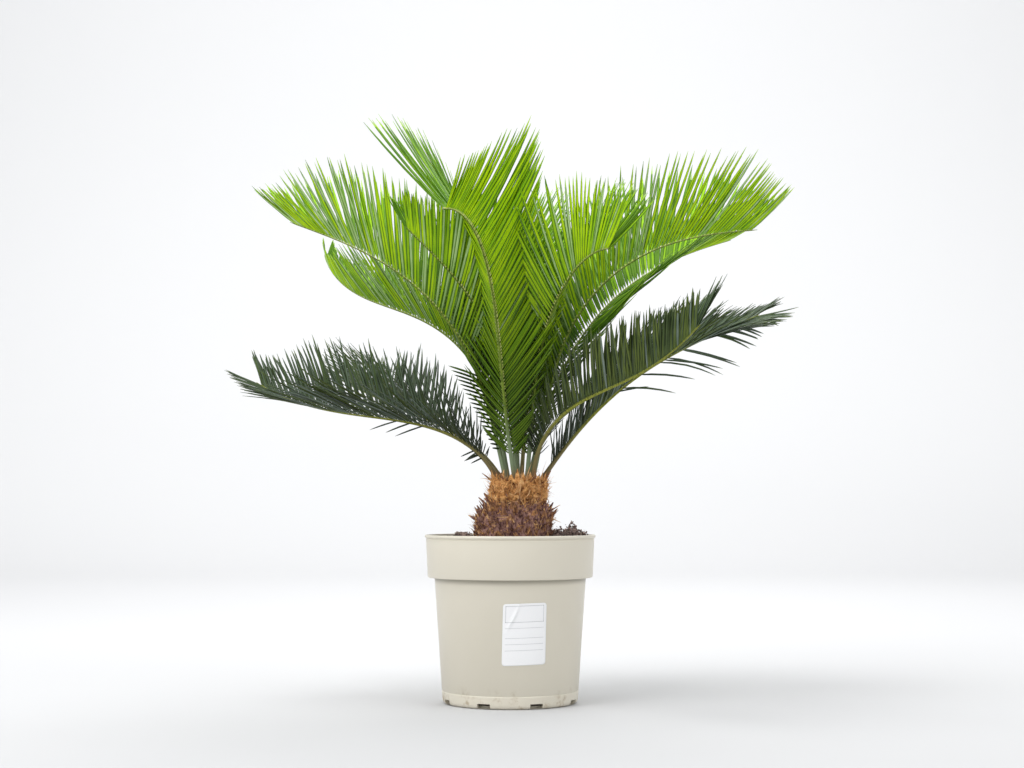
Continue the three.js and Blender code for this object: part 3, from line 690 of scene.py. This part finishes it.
# A section's corners, anticlockwise seen from the tip: share of the width, lift as a share of the
# width, share of the thickness, and the kind of the wall from there to the next corner.
LEAF_SECTION = [(-0.5, -0.16, 0, FACE_MARGIN), (-0.3, 0.02, 0.1, FACE), (0, -0.04, 0.1, FACE),
                (0.3, 0.02, 0.1, FACE_MARGIN), (0.5, -0.16, 0, BACK_MARGIN), (0.3, -0.02, -0.5, BACK),
                (0, -0.06, -1.2, BACK), (-0.3, -0.02, -0.5, BACK_MARGIN)]
SCALE_SECTION = [(-0.5, 0, 0, FACE), (-0.3, 0.14, 0, FACE), (0, 0.2, 0, FACE), (0.3, 0.14, 0, FACE),
                 (0.5, 0, 0, BACK), (0, 0, -1, BACK)]
HAIR_SECTION = [(-0.5, -0.3, 0, FACE), (0, 0.6, 0, FACE), (0.5, -0.3, 0, BACK)]
# An outline's stations: share of the length, and share of the width there.
LEAF_OUTLINE = [(0, 0.34), (0.022, 0.4), (0.08, 0.8), (0.22, 1), (0.5, 1), (0.74, 0.84), (0.91, 0.5),
                (1, 0.05)]
SCALE_OUTLINE = [(0, 1), (0.3, 0.98), (0.58, 0.74), (0.82, 0.38), (1, 0.06)]
HAIR_OUTLINE = [(0, 1), (0.35, 0.85), (0.7, 0.5), (1, 0.08)]
print("leaflet faces:", (len(LEAF_OUTLINE) - 1) * len(LEAF_SECTION) + 2)

# %% [markdown]
# ## The trunk
# Under the wool the trunk is a squat barrel, shaggy with the dry bases of leaves that have been
# lost. They grew in a spiral, each about 137.5 degrees on from the last, and are laid out like that.

# %% The trunk's core
TRUNK_FOOT_Z = 178
WAIST_Z = 221
CROWN_Z = 246
CROWN_X = 10
CROWN_RADIUS = 29.5
WAIST_RADIUS = 31
TRUNK_SIDES = 96


def axis_x(z):
    """The trunk leans a little to the right as it rises."""
    return mix(TRUNK_FOOT_X, CROWN_X, ease(z, TRUNK_FOOT_Z, CROWN_Z))


def trunk_radius(z):
    t = (z - TRUNK_FOOT_Z) / (WAIST_Z - TRUNK_FOOT_Z)
    return mix(mix(41, 42.5, sin(pi * t)), WAIST_RADIUS, ease(t, 0.55, 1))


def crown_radius(z):
    t = (z - WAIST_Z) / (CROWN_Z - WAIST_Z)
    return mix(WAIST_RADIUS, CROWN_RADIUS, t) + 1.2 * sin(pi * t)


def lean_and_roughen(piece, depth, coarseness):
    """Moves a thrown piece's rings on to the leaning axis and makes its wall lumpy."""
    for vertex in piece.data.vertices:
        x, y, z = point = vertex.co / MM
        lump = lumps(point, coarseness) + 0.45 * lumps(point * coarseness, 2.7)
        swell = 1 + depth * lump / max(hypot(x, y), 8)
        vertex.co = Vector((x * swell + axis_x(z), y * swell, z)) * MM


core_outline = [(trunk_radius(z) - 1.5, z) for z in np.linspace(TRUNK_FOOT_Z, WAIST_Z, 18)]
trunk_core = throw_on_wheel("trunk_core", core_outline, TRUNK_SIDES)
lean_and_roughen(trunk_core, 3.0, 0.22)
crown_outline = [(crown_radius(z) - 0.5, z) for z in np.linspace(WAIST_Z - 3, CROWN_Z, 22)]
crown_outline += [(CROWN_RADIUS * share, CROWN_Z + 1.2 * (1 - share))
                  for share in (0.9, 0.7, 0.5, 0.3, 0.1)]
crown_core = throw_on_wheel("crown_wool_core", crown_outline, TRUNK_SIDES)
lean_and_roughen(crown_core, 4.6, 0.16)
cores = ((trunk_core, "trunk", "leaf_base_bark"), (crown_core, "crown_bud", "crown_wool"))
for core, node_name, slot_name in cores:
    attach(core, "root")
    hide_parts(node_name)
print("core faces:", [len(core.data.polygons) for core in (trunk_core, crown_core)])

# %% Bark and wool
def leaf_base_finish(place, dark, light, edge):
    """Dry leaf base: purple brown with paler streaks and worn, rusty edges."""
    streaks = place.stretched(1, 1, 0.35).noise(420.0, 4.0, 0.6)
    rust = place.noise(190.0, 4.0, 0.65).fade(0.52, 0.68)
    return {
        "Base Color": (rust * 0.75).blend(streaks.fade(0.35, 0.68).blend(dark, light), edge),
        "Roughness": 0.72 + streaks * 0.22,
        "Bump": (streaks, 0.0008),
        "Specular IOR Level": 0.2,
    }


def wool_finish(place, hollow_shade, mid, bright):
    """Felted plant wool: golden and matt, with painted shade in the hollows between its tufts."""
    tufts = place.noise(150.0, 5.0, 0.7)
    hairs = place.stretched(1, 1, 0.3).noise(1500.0, 3.0, 0.6)
    tone = tufts * 0.85 + hairs * 0.15
    return {
        # The darkest stop is painted shade in the hollows between the tufts.
        "Base Color": tone.ramp((0.4, hollow_shade), (0.47, mid), (0.6, bright)),
        "Roughness": 0.85 + hairs * 0.12,
        "Bump": (tufts * 0.8 + hairs * 0.2, 0.003),
        "Specular IOR Level": 0.15,
    }


PLUM_BARK, RUST_BARK, STRAW = finishes(
    leaf_base_finish,
    ("plum_leaf_base", (0.1, 0.045, 0.042), (0.42, 0.24, 0.2), (0.62, 0.34, 0.19)),
    ("rusty_leaf_base", (0.15, 0.07, 0.04), (0.42, 0.21, 0.1), (0.62, 0.33, 0.12)),
    ("straw_tip", (0.42, 0.23, 0.1), (0.72, 0.44, 0.22), (0.8, 0.52, 0.26)))
# The first tone of each wool is the painted shade of its hollows.
WOOL, PALE_WOOL = finishes(
    wool_finish,
    ("golden_wool", (0.13, 0.05, 0.025), (0.62, 0.3, 0.1), (0.92, 0.55, 0.22)),
    ("pale_wool", (0.3, 0.12, 0.04), (0.7, 0.36, 0.13), (0.95, 0.6, 0.28)))
coat(trunk_core, PLUM_BARK)
coat(crown_core, WOOL)
print("materials:", len(bpy.data.materials))

# %% Old leaf bases in their spiral
GOLDEN_ANGLE = pi * (3 - sqrt(5))


def outward(azimuth, lift=0.0):
    """The way out from the trunk's axis, or up from it by an angle."""
    level = cos(lift)
    return np.array([cos(azimuth) * level, sin(azimuth) * level, sin(lift)])


def leftward(azimuth):
    """The level way across, to the left of one who looks out from the trunk."""
    return np.array([-sin(azimuth), cos(azimuth), 0.0])


def looking_out(way, lean, azimuth):
    """A blade's sides, turned so that its face looks away from the trunk."""
    sides = sides_of(way, lean)
    return -sides if np.dot(sides[1], outward(azimuth)) < 0 else sides


def pick(choices):
    return choices[random.integers(len(choices))]


def grow_spiral(blades, count, bottom, top, radius_at, rise, length, width, thick, choices, start=0.0):
    """Pointed scales up a leaning trunk, each a golden angle on from the last."""
    for index in range(count):
        z = mix(bottom, top, (index + 0.5) / count)
        azimuth = start + index * GOLDEN_ANGLE + random.normal() * 0.12
        way = outward(azimuth, radians(rise + random.normal() * 9))
        sides = looking_out(way, leftward(azimuth) + random.normal(size=3) * 0.1, azimuth)
        size = random.uniform(0.7, 1.3)
        root = outward(azimuth) * (radius_at(z) - 3.5) + (axis_x(z), 0, z)
        blades.grow(root, way, sides, length * size, width * random.uniform(0.8, 1.2), thick,
                    outward(azimuth) * random.uniform(-0.3, 0.22), pick(choices))


# Each choice has the material numbers of a foot, a tip, a face and a back.
BARK_CHOICES = ((0, 0, 0, 0), (0, 1, 0, 0), (0, 2, 0, 0), (1, 2, 1, 0), (0, 1, 1, 0))
leaf_bases = Blades(SCALE_SECTION, SCALE_OUTLINE)
grow_spiral(leaf_bases, 130, TRUNK_FOOT_Z + 1, WAIST_Z - 3, trunk_radius, 62, 13, 7.5, 2.4, BARK_CHOICES)
grow_spiral(leaf_bases, 150, TRUNK_FOOT_Z + 3, WAIST_Z + 1, trunk_radius, 55, 13, 2.6, 1.2, BARK_CHOICES,
            1.1)
old_bases = leaf_bases.join("old_leaf_bases", [PLUM_BARK, RUST_BARK, STRAW])
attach(old_bases, "root")
print("old leaf bases:", len(leaf_bases.rows))

# %% Bud scales round the woolly top
WOOL_CHOICES = ((0, 0, 0, 0), (0, 1, 0, 0), (1, 1, 1, 0), (0, 2, 0, 0))
SPIKE_SLOTS = (0, 2, 2, 2)
RIM_SCALES = 30
SPIKE_EVERY = 5
bud_scales = Blades(SCALE_SECTION, SCALE_OUTLINE)
grow_spiral(bud_scales, 26, WAIST_Z - 2, CROWN_Z - 8, crown_radius, 70, 15, 9, 2.2, WOOL_CHOICES, 0.4)
for index in range(RIM_SCALES):
    azimuth = 2 * pi * index / RIM_SCALES + random.normal() * 0.06
    is_spike = index % SPIKE_EVERY == 0
    lift = (40 if is_spike else 74) + random.normal() * 12
    way = outward(azimuth, radians(lift))
    sides = looking_out(way, leftward(azimuth), azimuth)
    inset = 3 if is_spike else random.uniform(2, 9)
    root = outward(azimuth) * (CROWN_RADIUS - inset) + (CROWN_X, 0, CROWN_Z - 5)
    length = 18 if is_spike else random.uniform(6, 19)
    width = 4 if is_spike else random.uniform(4, 11)
    bow = outward(azimuth) * random.uniform(-0.1, 0.1)
    slots = SPIKE_SLOTS if is_spike else pick(WOOL_CHOICES)
    bud_scales.grow(root, way, sides, length, width, 1.6, bow, slots)
scales = bud_scales.join("woolly_bud_scales", [WOOL, PALE_WOOL, RUST_BARK])
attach(scales, "root")
print("bud scales:", len(bud_scales.rows))

# %% Hairs and fibres
UP = np.array([0.0, 0.0, 1.0])


def grow_hairs(blades, count, bottom, top, radius_at, rise, spread, lengths, width, numbers, lie=0.2):
    """Hairs on a leaning trunk's skin, which lie flat where lie is 1. numbers: their finishes."""
    for _ in range(count):
        z = random.uniform(bottom, top)
        azimuth = random.uniform(0, 2 * pi)
        facing = outward(azimuth)
        way = outward(azimuth + random.normal() * 0.5, radians(rise)) + random.normal(size=3) * spread
        way = unit(way - facing * (way * facing).sum() * lie)
        sides = sides_of(way, np.cross(UP, facing) + random.normal(size=3) * 0.2)
        root = facing * (radius_at(z) - 0.6 + random.uniform(0, 1.8)) + (axis_x(z), 0, z)
        blades.grow(root, way, sides, random.uniform(*lengths), width * random.uniform(0.7, 1.3), 0,
                    random.normal(size=3) * 0.4 - facing * 0.1, (pick(numbers),) * 4)


hairs = Blades(HAIR_SECTION, HAIR_OUTLINE)
grow_hairs(hairs, 1500, WAIST_Z - 2, CROWN_Z + 1, crown_radius, 62, 0.35, (3, 9), 0.5, (0, 1))
grow_hairs(hairs, 240, TRUNK_FOOT_Z + 2, WAIST_Z + 2, trunk_radius, 60, 0.5, (4, 10), 0.7, (2, 3, 0))
grow_hairs(hairs, 200, TRUNK_FOOT_Z + 1, WAIST_Z + 4, trunk_radius, 70, 1.1, (4, 9), 1.5, (2, 3), 0.85)
grow_hairs(hairs, 130, WAIST_Z, CROWN_Z - 2, crown_radius, 50, 1.0, (7, 17), 1.3, (3, 1), 0.92)
wool_hairs = hairs.join("wool_and_fibres", [WOOL, PALE_WOOL, RUST_BARK, STRAW])
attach(wool_hairs, "root")
print("hairs:", len(hairs.rows))

# %% Loose bits in the soil
MOUND_FIBRES = 90
bits = Blades(HAIR_SECTION, HAIR_OUTLINE)
for cx, cy, wide, _ in MOUNDS:
    for _ in range(MOUND_FIBRES):
        x, y = cx + random.normal() * wide * 0.5, cy + random.normal() * wide * 0.5
        if hypot(x, y) < 86:
            way = unit(random.normal(size=3) + (0, 0, 0.9))
            sides = sides_of(way, random.normal(size=3))
            bits.grow((x, y, soil_height(x, y) - 0.6), way, sides, random.uniform(2, 6), 0.8, 0,
                      random.normal(size=3) * 0.3, (pick((0, 1)),) * 4)
soil_bits = bits.join("soil_fibres", [PEAT, BARK_CRUMB])
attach(soil_bits, "root")
print("soil fibres:", len(bits.rows))

# %% [markdown]
# ## The fronds
# A sago palm's leaf is a stiff rib with two rows of narrow leaflets that stand up in a V. The CAD
# model's rule is written again here, with the same sizes, and only the leaflets are finer: the rib's
# climb is a Bezier curve of angles, and each row says how its leaflets stand low down, half way along
# and at the tip.

# %% The rule of a frond
def row(vee, spread, size, droop=0):
    """How a row's leaflets stand up, spread and grow low down, half way and at the tip.

    A fourth value is where along the row they turn to the tip's. droop: the share that hangs.
    """
    return {"vee": vee, "spread": spread, "size": size, "droop": droop}


def both(*values):
    return {"left": row(*values), "right": row(*values)}


def grown(kind, azimuth, length, rise, **changes):
    """A frond of one kind. rise: the Bezier curve of its rib's angle off level."""
    return {**kind, "azimuth": azimuth, "length": length, "rise": rise, **changes}


FLUSH = {"foot": 0.5, "swing": 0, "stalk": 0.1, "leaflet": 122, "bow": (0.02, 0.1), "wide": 4.5,
         "spacing": 3.9, "loose": 1, "pale": 0.2, "strays": (), "old": False,
         **both((12, 48, 48), (72, 56, 36), (0.1, 1, 0.36))}
OLD = {"foot": 0.855, "swing": 0, "stalk": 0.13, "leaflet": 105, "bow": (0.05, -0.03), "wide": 3.1,
       "spacing": 2.6, "loose": 2.2, "pale": 0.2, "strays": (), "old": True,
       **both((30, 46, 34), (70, 54, 28), (0.12, 1, 0.45))}
# Leaflets that leave their row: the side, the share of the rib, the size, the spread and the vee.
LEFT_STRAYS = [(1, 0.088 + 0.0118 * k, 0.1 + 0.0145 * k, 74 - k, -48) for k in range(19)]
OLD_LEFT_STRAYS = [
    (1, 0.1, 0.16, 70, -78), (1, 0.115, 0.2, 62, -84), (1, 0.13, 0.14, 72, -76), (1, 0.14, 0.18, 60, -88),
    (-1, 0.12, 0.16, 64, -80), (1, 0.36, 0.36, 36, -50), (1, 0.41, 0.3, 30, -62), (1, 0.46, 0.34, 28, -48)]
OLD_RIGHT_STRAYS = [(-1, 0.42, 0.32, 30, -52)]
FRONDS = {
    "frond_front": grown(
        FLUSH, 250, 351, (64, 76, 103, -15), swing=-11, leaflet=126, wide=4.9, spacing=3.0, pale=0.04,
        left=row((8, 54, 56), (76, 43, 86), (0.2, 0.95, 0.45, 0.78)),
        right=row((8, 46, 54), (76, 46, 76), (0.26, 1, 0.88))),
    "frond_front_right": grown(
        FLUSH, 305, 324, (80, 95, 47, -6), swing=-9, leaflet=110,
        **both((12, 48, 72), (72, 56, 34), (0.1, 1, 0.72))),
    "frond_left": grown(
        FLUSH, 187, 397, (76, 86, 17, 21), swing=-14, leaflet=120, wide=4.1, spacing=4.3, pale=0.34,
        left=row((12, 48, 30), (72, 59, 30, 0.75), (0.1, 0.94, 0.5, 0.75)),
        right=row((12, 48, 46), (72, 59, 34, 0.75), (0.1, 0.94, 0.5, 0.75)), strays=LEFT_STRAYS),
    "frond_right": grown(
        FLUSH, 7, 432, (75, 104, 4, 7), swing=6, leaflet=118, wide=4.2, spacing=4.8,
        left=row((12, 50, 50), (76, 66, 46), (0.1, 0.95, 0.55, 0.8)),
        right=row((12, 50, 44), (76, 66, 48), (0.1, 0.95, 0.55, 0.8))),
    "old_frond_left": grown(
        OLD, 188, 290, (66, -10, -3, 33), swing=-2, leaflet=94, pale=0.45,
        left=row((30, 24, -34), (62, 40, 18), (0.2, 1.1, 0.45)),
        right=row((50, 66, 60), (82, 71, 46, 0.6), (0.6, 1, 0.46, 0.6)), strays=OLD_LEFT_STRAYS),
    "old_frond_front_right": grown(
        OLD, 309, 316, (89, -22, 18, 33), swing=-4, leaflet=90, stalk=0.1, spacing=1.9, wide=3.4,
        pale=0.04, left=row((30, 48, 60), (76, 58, 40), (0.2, 0.94, 0.62)),
        right=row((56, 56, 54), (74, 54, 36), (0.3, 0.88, 0.5))),
    "old_frond_right": grown(
        OLD, 2, 312, (55, 51, 17, 25), swing=10, bow=(0.05, -0.1), stalk=0.08, spacing=2.0, wide=3.4,
        pale=0.5, left=row((34, 46, 20, 0.5), (70, 48, 28, 0.5), (0.12, 0.9, 0.5)),
        right=row((44, 38, -34, 0.5), (70, 46, 26, 0.5), (0.36, 1, 0.44), 0.2), strays=OLD_RIGHT_STRAYS),
    "frond_back_left": grown(
        FLUSH, 145, 406, (78, 87, -52, 67), swing=2, leaflet=104, pale=0.4,
        left=row((12, 48, 48), (72, 58, 40), (0.1, 0.95, 0.26)),
        right=row((12, 48, 48), (72, 52, 36), (0.1, 0.95, 0.26))),
    "frond_back_right": grown(
        FLUSH, 39, 428, (75, 66, 24, 17), swing=-19,
        right=row((12, 4, 18), (72, 50, 34), (0.1, 0.9, 0.4))),
    "old_frond_back_left": grown(OLD, 142, 298, (55, 2, 23, 15), swing=-20),
    "frond_front_left": grown(FLUSH, 214, 320, (88, 90, 32, 38), foot=0.15),
    "frond_back": grown(FLUSH, 96, 400, (80, 84, 40, 10)),
    "old_frond_back": grown(OLD, 84, 300, (62, 30, 15, 20)),
}
print("fronds:", len(FRONDS), "longest rib:", max(frond["length"] for frond in FRONDS.values()), "mm")

# %% The course of a rib
RIB_STEPS = 80


def along_row(values, t):
    """A row's value at the share t of it, from its low, middle and tip values, and where it turns."""
    low, middle, tip, turn = (*values, 0.55)[:4]
    if t < 0.5:
        return mix(low, middle, ease(t, -0.05, 0.42))
    return mix(middle, tip, ease(t, turn, 1))


def bezier(values, s):
    a, b, c, d = values
    r = 1 - s
    return r ** 3 * a + 3 * r * r * s * b + 3 * r * s * s * c + s ** 3 * d


def trace_rib(frond):
    """The rib's course: points, the way it runs, its left side and its upper side."""
    azimuth = radians(frond["azimuth"])
    place = outward(azimuth) * frond["foot"] * CROWN_RADIUS + (CROWN_X, 0, CROWN_Z + 0.3)
    course = []
    for index in range(RIB_STEPS + 1):
        s = index / RIB_STEPS
        heading = azimuth + radians(frond["swing"]) * s * s
        along = outward(heading, radians(bezier(frond["rise"], s)))
        left = leftward(heading)
        course.append((place, along, left, np.cross(along, left)))
        place = place + along * frond["length"] / RIB_STEPS
    return np.array(course)


def on_course(course, s):
    """The point, the way and the sides at the share s of a rib."""
    low = min(RIB_STEPS - 1, int(s * RIB_STEPS))
    return mix(course[low], course[low + 1], s * RIB_STEPS - low)


def rib_radius(s):
    return mix(2.8, 0.65, 1 - (1 - s) ** 2.2)


for frond in FRONDS.values():
    frond["course"] = trace_rib(frond)
print("highest tip:", round(max(frond["course"][-1, 0, 2] for frond in FRONDS.values())), "mm")

# %% [markdown]
# ## Leaf finishes
# Sago leaflets are leathery and shine. New fronds are a fresh yellow green above and pale blue green
# beneath, and old ones are nearly black green, with a grey sheen painted on many upper faces. Each
# leaflet takes one of a few tones, as real ones differ, and its callus at the rib is paler. Many tips
# are paler too: on new fronds as painted light through the thin tip, and on old ones from wear.
# Margins are painted dark, as the shade between leaflets, and leaves low down and near the middle
# of the crown are painted in shade.

# %% Leaf finishes
def leaf_finish(place, deep, bright, shade=0.96, top=0.57, gloss=0.18):
    """Leathery leaf, finely veined, with painted shade low down and near the middle of the crown."""
    shaded = tuple(0.22 * value for value in deep)
    patches = place.noise(38.0, 3.0, 0.55)
    veins = place.noise(1400.0, 2.0, 0.5)
    # Painted shade: the colour darkens low on the plant, and further near its upright middle line.
    low = 1 - place.height().fade(0.27, top)
    level = place.stretched(1, 1, 0)
    reach = place.node("VectorMath", {"operation": "LENGTH"}, {0: level}, output="Value")
    heart_shade = (1 - reach.fade(0.03, 0.12)) * (1 - place.height().fade(0.4, 0.52))
    tone = (patches.fade(0.3, 0.7) * 0.85 + veins * 0.15).blend(deep, bright)
    return {
        "Base Color": (low * shade + heart_shade * 0.25).blend(tone, shaded),
        "Roughness": 0.42 + patches * 0.14,
        "Bump": (veins, 0.00008),
        "Specular IOR Level": gloss,
    }


# The order of a leaf's finishes, and the tone of each margin beside its face. Margins are painted
# dark, as the shade between neighbouring leaflets.
# The second finish is a pale tip: painted light through the thin tip on new fronds, wear on old ones.
CALLUS, WORN_AND_BACKLIT_TIP, UNDERSIDE = 0, 1, 2
LEAF_TONES = (3, 4, 5)
MARGIN_SHADE_TONES = (5, 6, 6)
YOUNG = finishes(
    leaf_finish,
    ("leaflet_callus", (0.42, 0.5, 0.1), (0.62, 0.68, 0.22), 0.3),
    # Painted light: new tips are paler, as light shining through the thin leaf.
    ("thin_leaf_tip", (0.33, 0.58, 0.05), (0.5, 0.72, 0.17)),
    ("pale_underside", (0.34, 0.56, 0.15), (0.5, 0.7, 0.3)),
    ("fresh_leaf", (0.36, 0.65, 0.001), (0.54, 0.8, 0.004)),
    ("green_leaf", (0.25, 0.52, 0.004), (0.38, 0.65, 0.01)),
    ("deep_leaf", (0.1, 0.24, 0.012), (0.18, 0.35, 0.025)),
    # Painted shade for the margins, as the dark lines between leaflets.
    ("dark_margin", (0.06, 0.17, 0.003), (0.11, 0.26, 0.006)))
AGED = finishes(
    leaf_finish,
    ("old_callus", (0.22, 0.25, 0.03), (0.36, 0.38, 0.07), 0.2, 0.42),
    ("worn_leaf_tip", (0.09, 0.125, 0.05), (0.18, 0.22, 0.11), 0.4, 0.42),
    ("grey_underside", (0.12, 0.165, 0.125), (0.26, 0.32, 0.27), 0.6, 0.42),
    ("olive_leaf", (0.07, 0.11, 0.012), (0.125, 0.17, 0.025), 0.7, 0.42, 0.3),
    ("dark_leaf", (0.036, 0.066, 0.012), (0.072, 0.112, 0.026), 0.7, 0.42, 0.3),
    # Painted sheen: this grey stands for the sky reflected on glossy old upper faces.
    ("grey_leaf", (0.055, 0.09, 0.045), (0.12, 0.165, 0.105), 0.6, 0.42, 0.35),
    ("old_dark_margin", (0.014, 0.026, 0.005), (0.03, 0.05, 0.011), 0.5, 0.42))


def rib_finish(place, low, high, foot, grey):
    """A rib is woolly brown where it leaves the crown, grey further up and green beyond that."""
    streaks = place.stretched(1, 1, 0.2).noise(500.0, 3.0)
    stalk = place.height().fade(0.246, 0.262).blend(foot, grey)
    green = streaks.fade(0.3, 0.7).blend(low, high)
    return {
        "Base Color": place.height().fade(0.262, 0.33).blend(stalk, green),
        "Roughness": 0.45 + streaks * 0.15,
        "Bump": (streaks, 0.0002),
        "Specular IOR Level": 0.25,
    }


YOUNG_RIB, AGED_RIB = finishes(
    rib_finish,
    ("young_rib", (0.07, 0.12, 0.01), (0.18, 0.25, 0.025), (0.24, 0.19, 0.12), (0.2, 0.26, 0.15)),
    ("old_rib", (0.13, 0.15, 0.02), (0.29, 0.3, 0.04), (0.19, 0.1, 0.05), (0.17, 0.14, 0.055)))
print("leaf finishes:", len(YOUNG) + len(AGED))

# %% Ribs
RIB_SMOOTH = 60
RIB_SHARES = np.linspace(0, 1, 42)
# How far a rib goes down into the wool and on past its last leaflet, and its radius at those ends.
RIB_ROOT, ROOT_RADIUS = 4, 3.1
RIB_POINT, POINT_RADIUS = 7, 0.25


def make_rib(name, frond):
    """A round curve through the rib's course, thick at its foot and thin at its tip, made a mesh."""
    line = bpy.data.curves.new(name, "CURVE")
    line.dimensions = "3D"
    line.bevel_depth = 1.0 * MM
    line.bevel_resolution = 2
    line.use_fill_caps = True
    spline = line.splines.new("POLY")
    spline.points.add(len(RIB_SHARES) + 1)
    stations = [on_course(frond["course"], s) for s in RIB_SHARES]
    foot, tip = stations[0], stations[-1]
    places = [foot[0] - foot[1] * RIB_ROOT, *(station[0] for station in stations),
              tip[0] + tip[1] * RIB_POINT]
    radii = [ROOT_RADIUS, *map(rib_radius, RIB_SHARES), POINT_RADIUS]
    for point, place, radius in zip(spline.points, places, radii):
        point.co = (*(place * MM), 1)
        point.radius = radius
    make_active(place_in_scene(name, line))
    bpy.ops.object.convert(target="MESH")
    piece = bpy.context.object
    start_editing(piece)
    bpy.ops.mesh.remove_doubles(threshold=1e-6)
    close_edit(piece, RIB_SMOOTH)
    coat(piece, AGED_RIB if frond["old"] else YOUNG_RIB)
    return piece


for name, frond in FRONDS.items():
    rib = make_rib(name + "_rib", frond)
    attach(rib, "root")
    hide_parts(name)
print("ribs:", len(FRONDS))

# %% Leaflets
LEAF_THICK = 0.6
TONE_SHARES = (0.34, 0.42, 0.24)
# The share of pale tips: painted light on new fronds, wear on old ones.
PALE_TIP_SHARE = 0.45
# A leaflet that hangs from its row: its turn down, its share of the length and its bow.
DROOP, DROOP_SIZE, DROOP_BOW = 72, 0.62, (0.1, -0.25)
STRAY_BOW = (0.1, -0.15)


def grow_leaflet(blades, frond, side, s, size, spread, vee, bow, width):
    """One leaflet at the share s of the rib. spread and vee are its angles off the rib and off level."""
    point, along, left, upper = on_course(frond["course"], s)
    angle, tilt = radians(spread), radians(vee)
    way = (along * cos(angle) + left * side * sin(angle) * cos(tilt)
           + upper * sin(angle) * sin(tilt))
    sides = sides_of(unit(way), along) * side
    root = point + left * side * rib_radius(s) * 0.55 + upper * rib_radius(s) * 0.35
    tone = int(random.choice(3, p=TONE_SHARES))
    upper_tone = LEAF_TONES[min(tone + 1, 2)]
    under_tone = UNDERSIDE if random.uniform() < frond["pale"] else LEAF_TONES[max(tone - 1, 0)]
    # A pale tip: painted light through the thin tip on new fronds, wear on old ones.
    tip = WORN_AND_BACKLIT_TIP if random.uniform() < PALE_TIP_SHARE else LEAF_TONES[tone]
    # The margins take painted shade, as the dark lines between leaflets.
    margin = MARGIN_SHADE_TONES[tone]
    slots = (CALLUS, tip, upper_tone, under_tone, margin, margin)
    blades.grow(root, way, sides, frond["leaflet"] * size, width, LEAF_THICK,
                along * bow[0] + UP * bow[1], slots)


def grow_leaflets(frond):
    """Both rows of a frond's leaflets, by the CAD model's rule, and its strays."""
    blades = Blades(LEAF_SECTION, LEAF_OUTLINE)
    stalk = frond["stalk"] - 0.02
    count = round(frond["length"] * (1 - stalk) / frond["spacing"])
    for side, rule in ((1, frond["left"]), (-1, frond["right"])):
        for index in range(count):
            t = 1 - (1 - (index + 0.5 + random.uniform(-0.22, 0.22)) / count) ** 1.2
            climb = ease(t, 0, 0.4)
            loose = frond["loose"] * mix(1.8, 1, climb)
            hangs = t > 0.4 and random.uniform() < rule["droop"]
            size = along_row(rule["size"], t) * (DROOP_SIZE if hangs else 1)
            spread = along_row(rule["spread"], t) * mix(0.7, 1, climb)
            spread += random.normal() * 0.9 * loose
            vee = along_row(rule["vee"], t) + random.normal() * 1.7 * loose - (DROOP if hangs else 0)
            forward, rise = DROOP_BOW if hangs else frond["bow"]
            bow = (forward + random.normal() * 0.015 * loose, rise + random.normal() * 0.02 * loose)
            width = frond["wide"] * mix(0.6, 1, climb) * mix(0.7, 1, min(size, 1))
            size *= random.uniform(0.95, 1.035)
            width *= random.uniform(0.9, 1.06)
            grow_leaflet(blades, frond, side, mix(stalk, 1, t), size, spread, vee, bow, width)
    for side, s, size, spread, vee in frond["strays"]:
        width = frond["wide"] * mix(0.5, 1, size)
        grow_leaflet(blades, frond, side, s, size, spread, vee, STRAY_BOW, width)
    return blades


leaflet_count = 0
for name, frond in FRONDS.items():
    blades = grow_leaflets(frond)
    leaflets = blades.join(name + "_leaflets", AGED if frond["old"] else YOUNG)
    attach(leaflets, "root")
    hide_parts(name)
    leaflet_count += len(blades.rows)
print("leaflets:", leaflet_count)
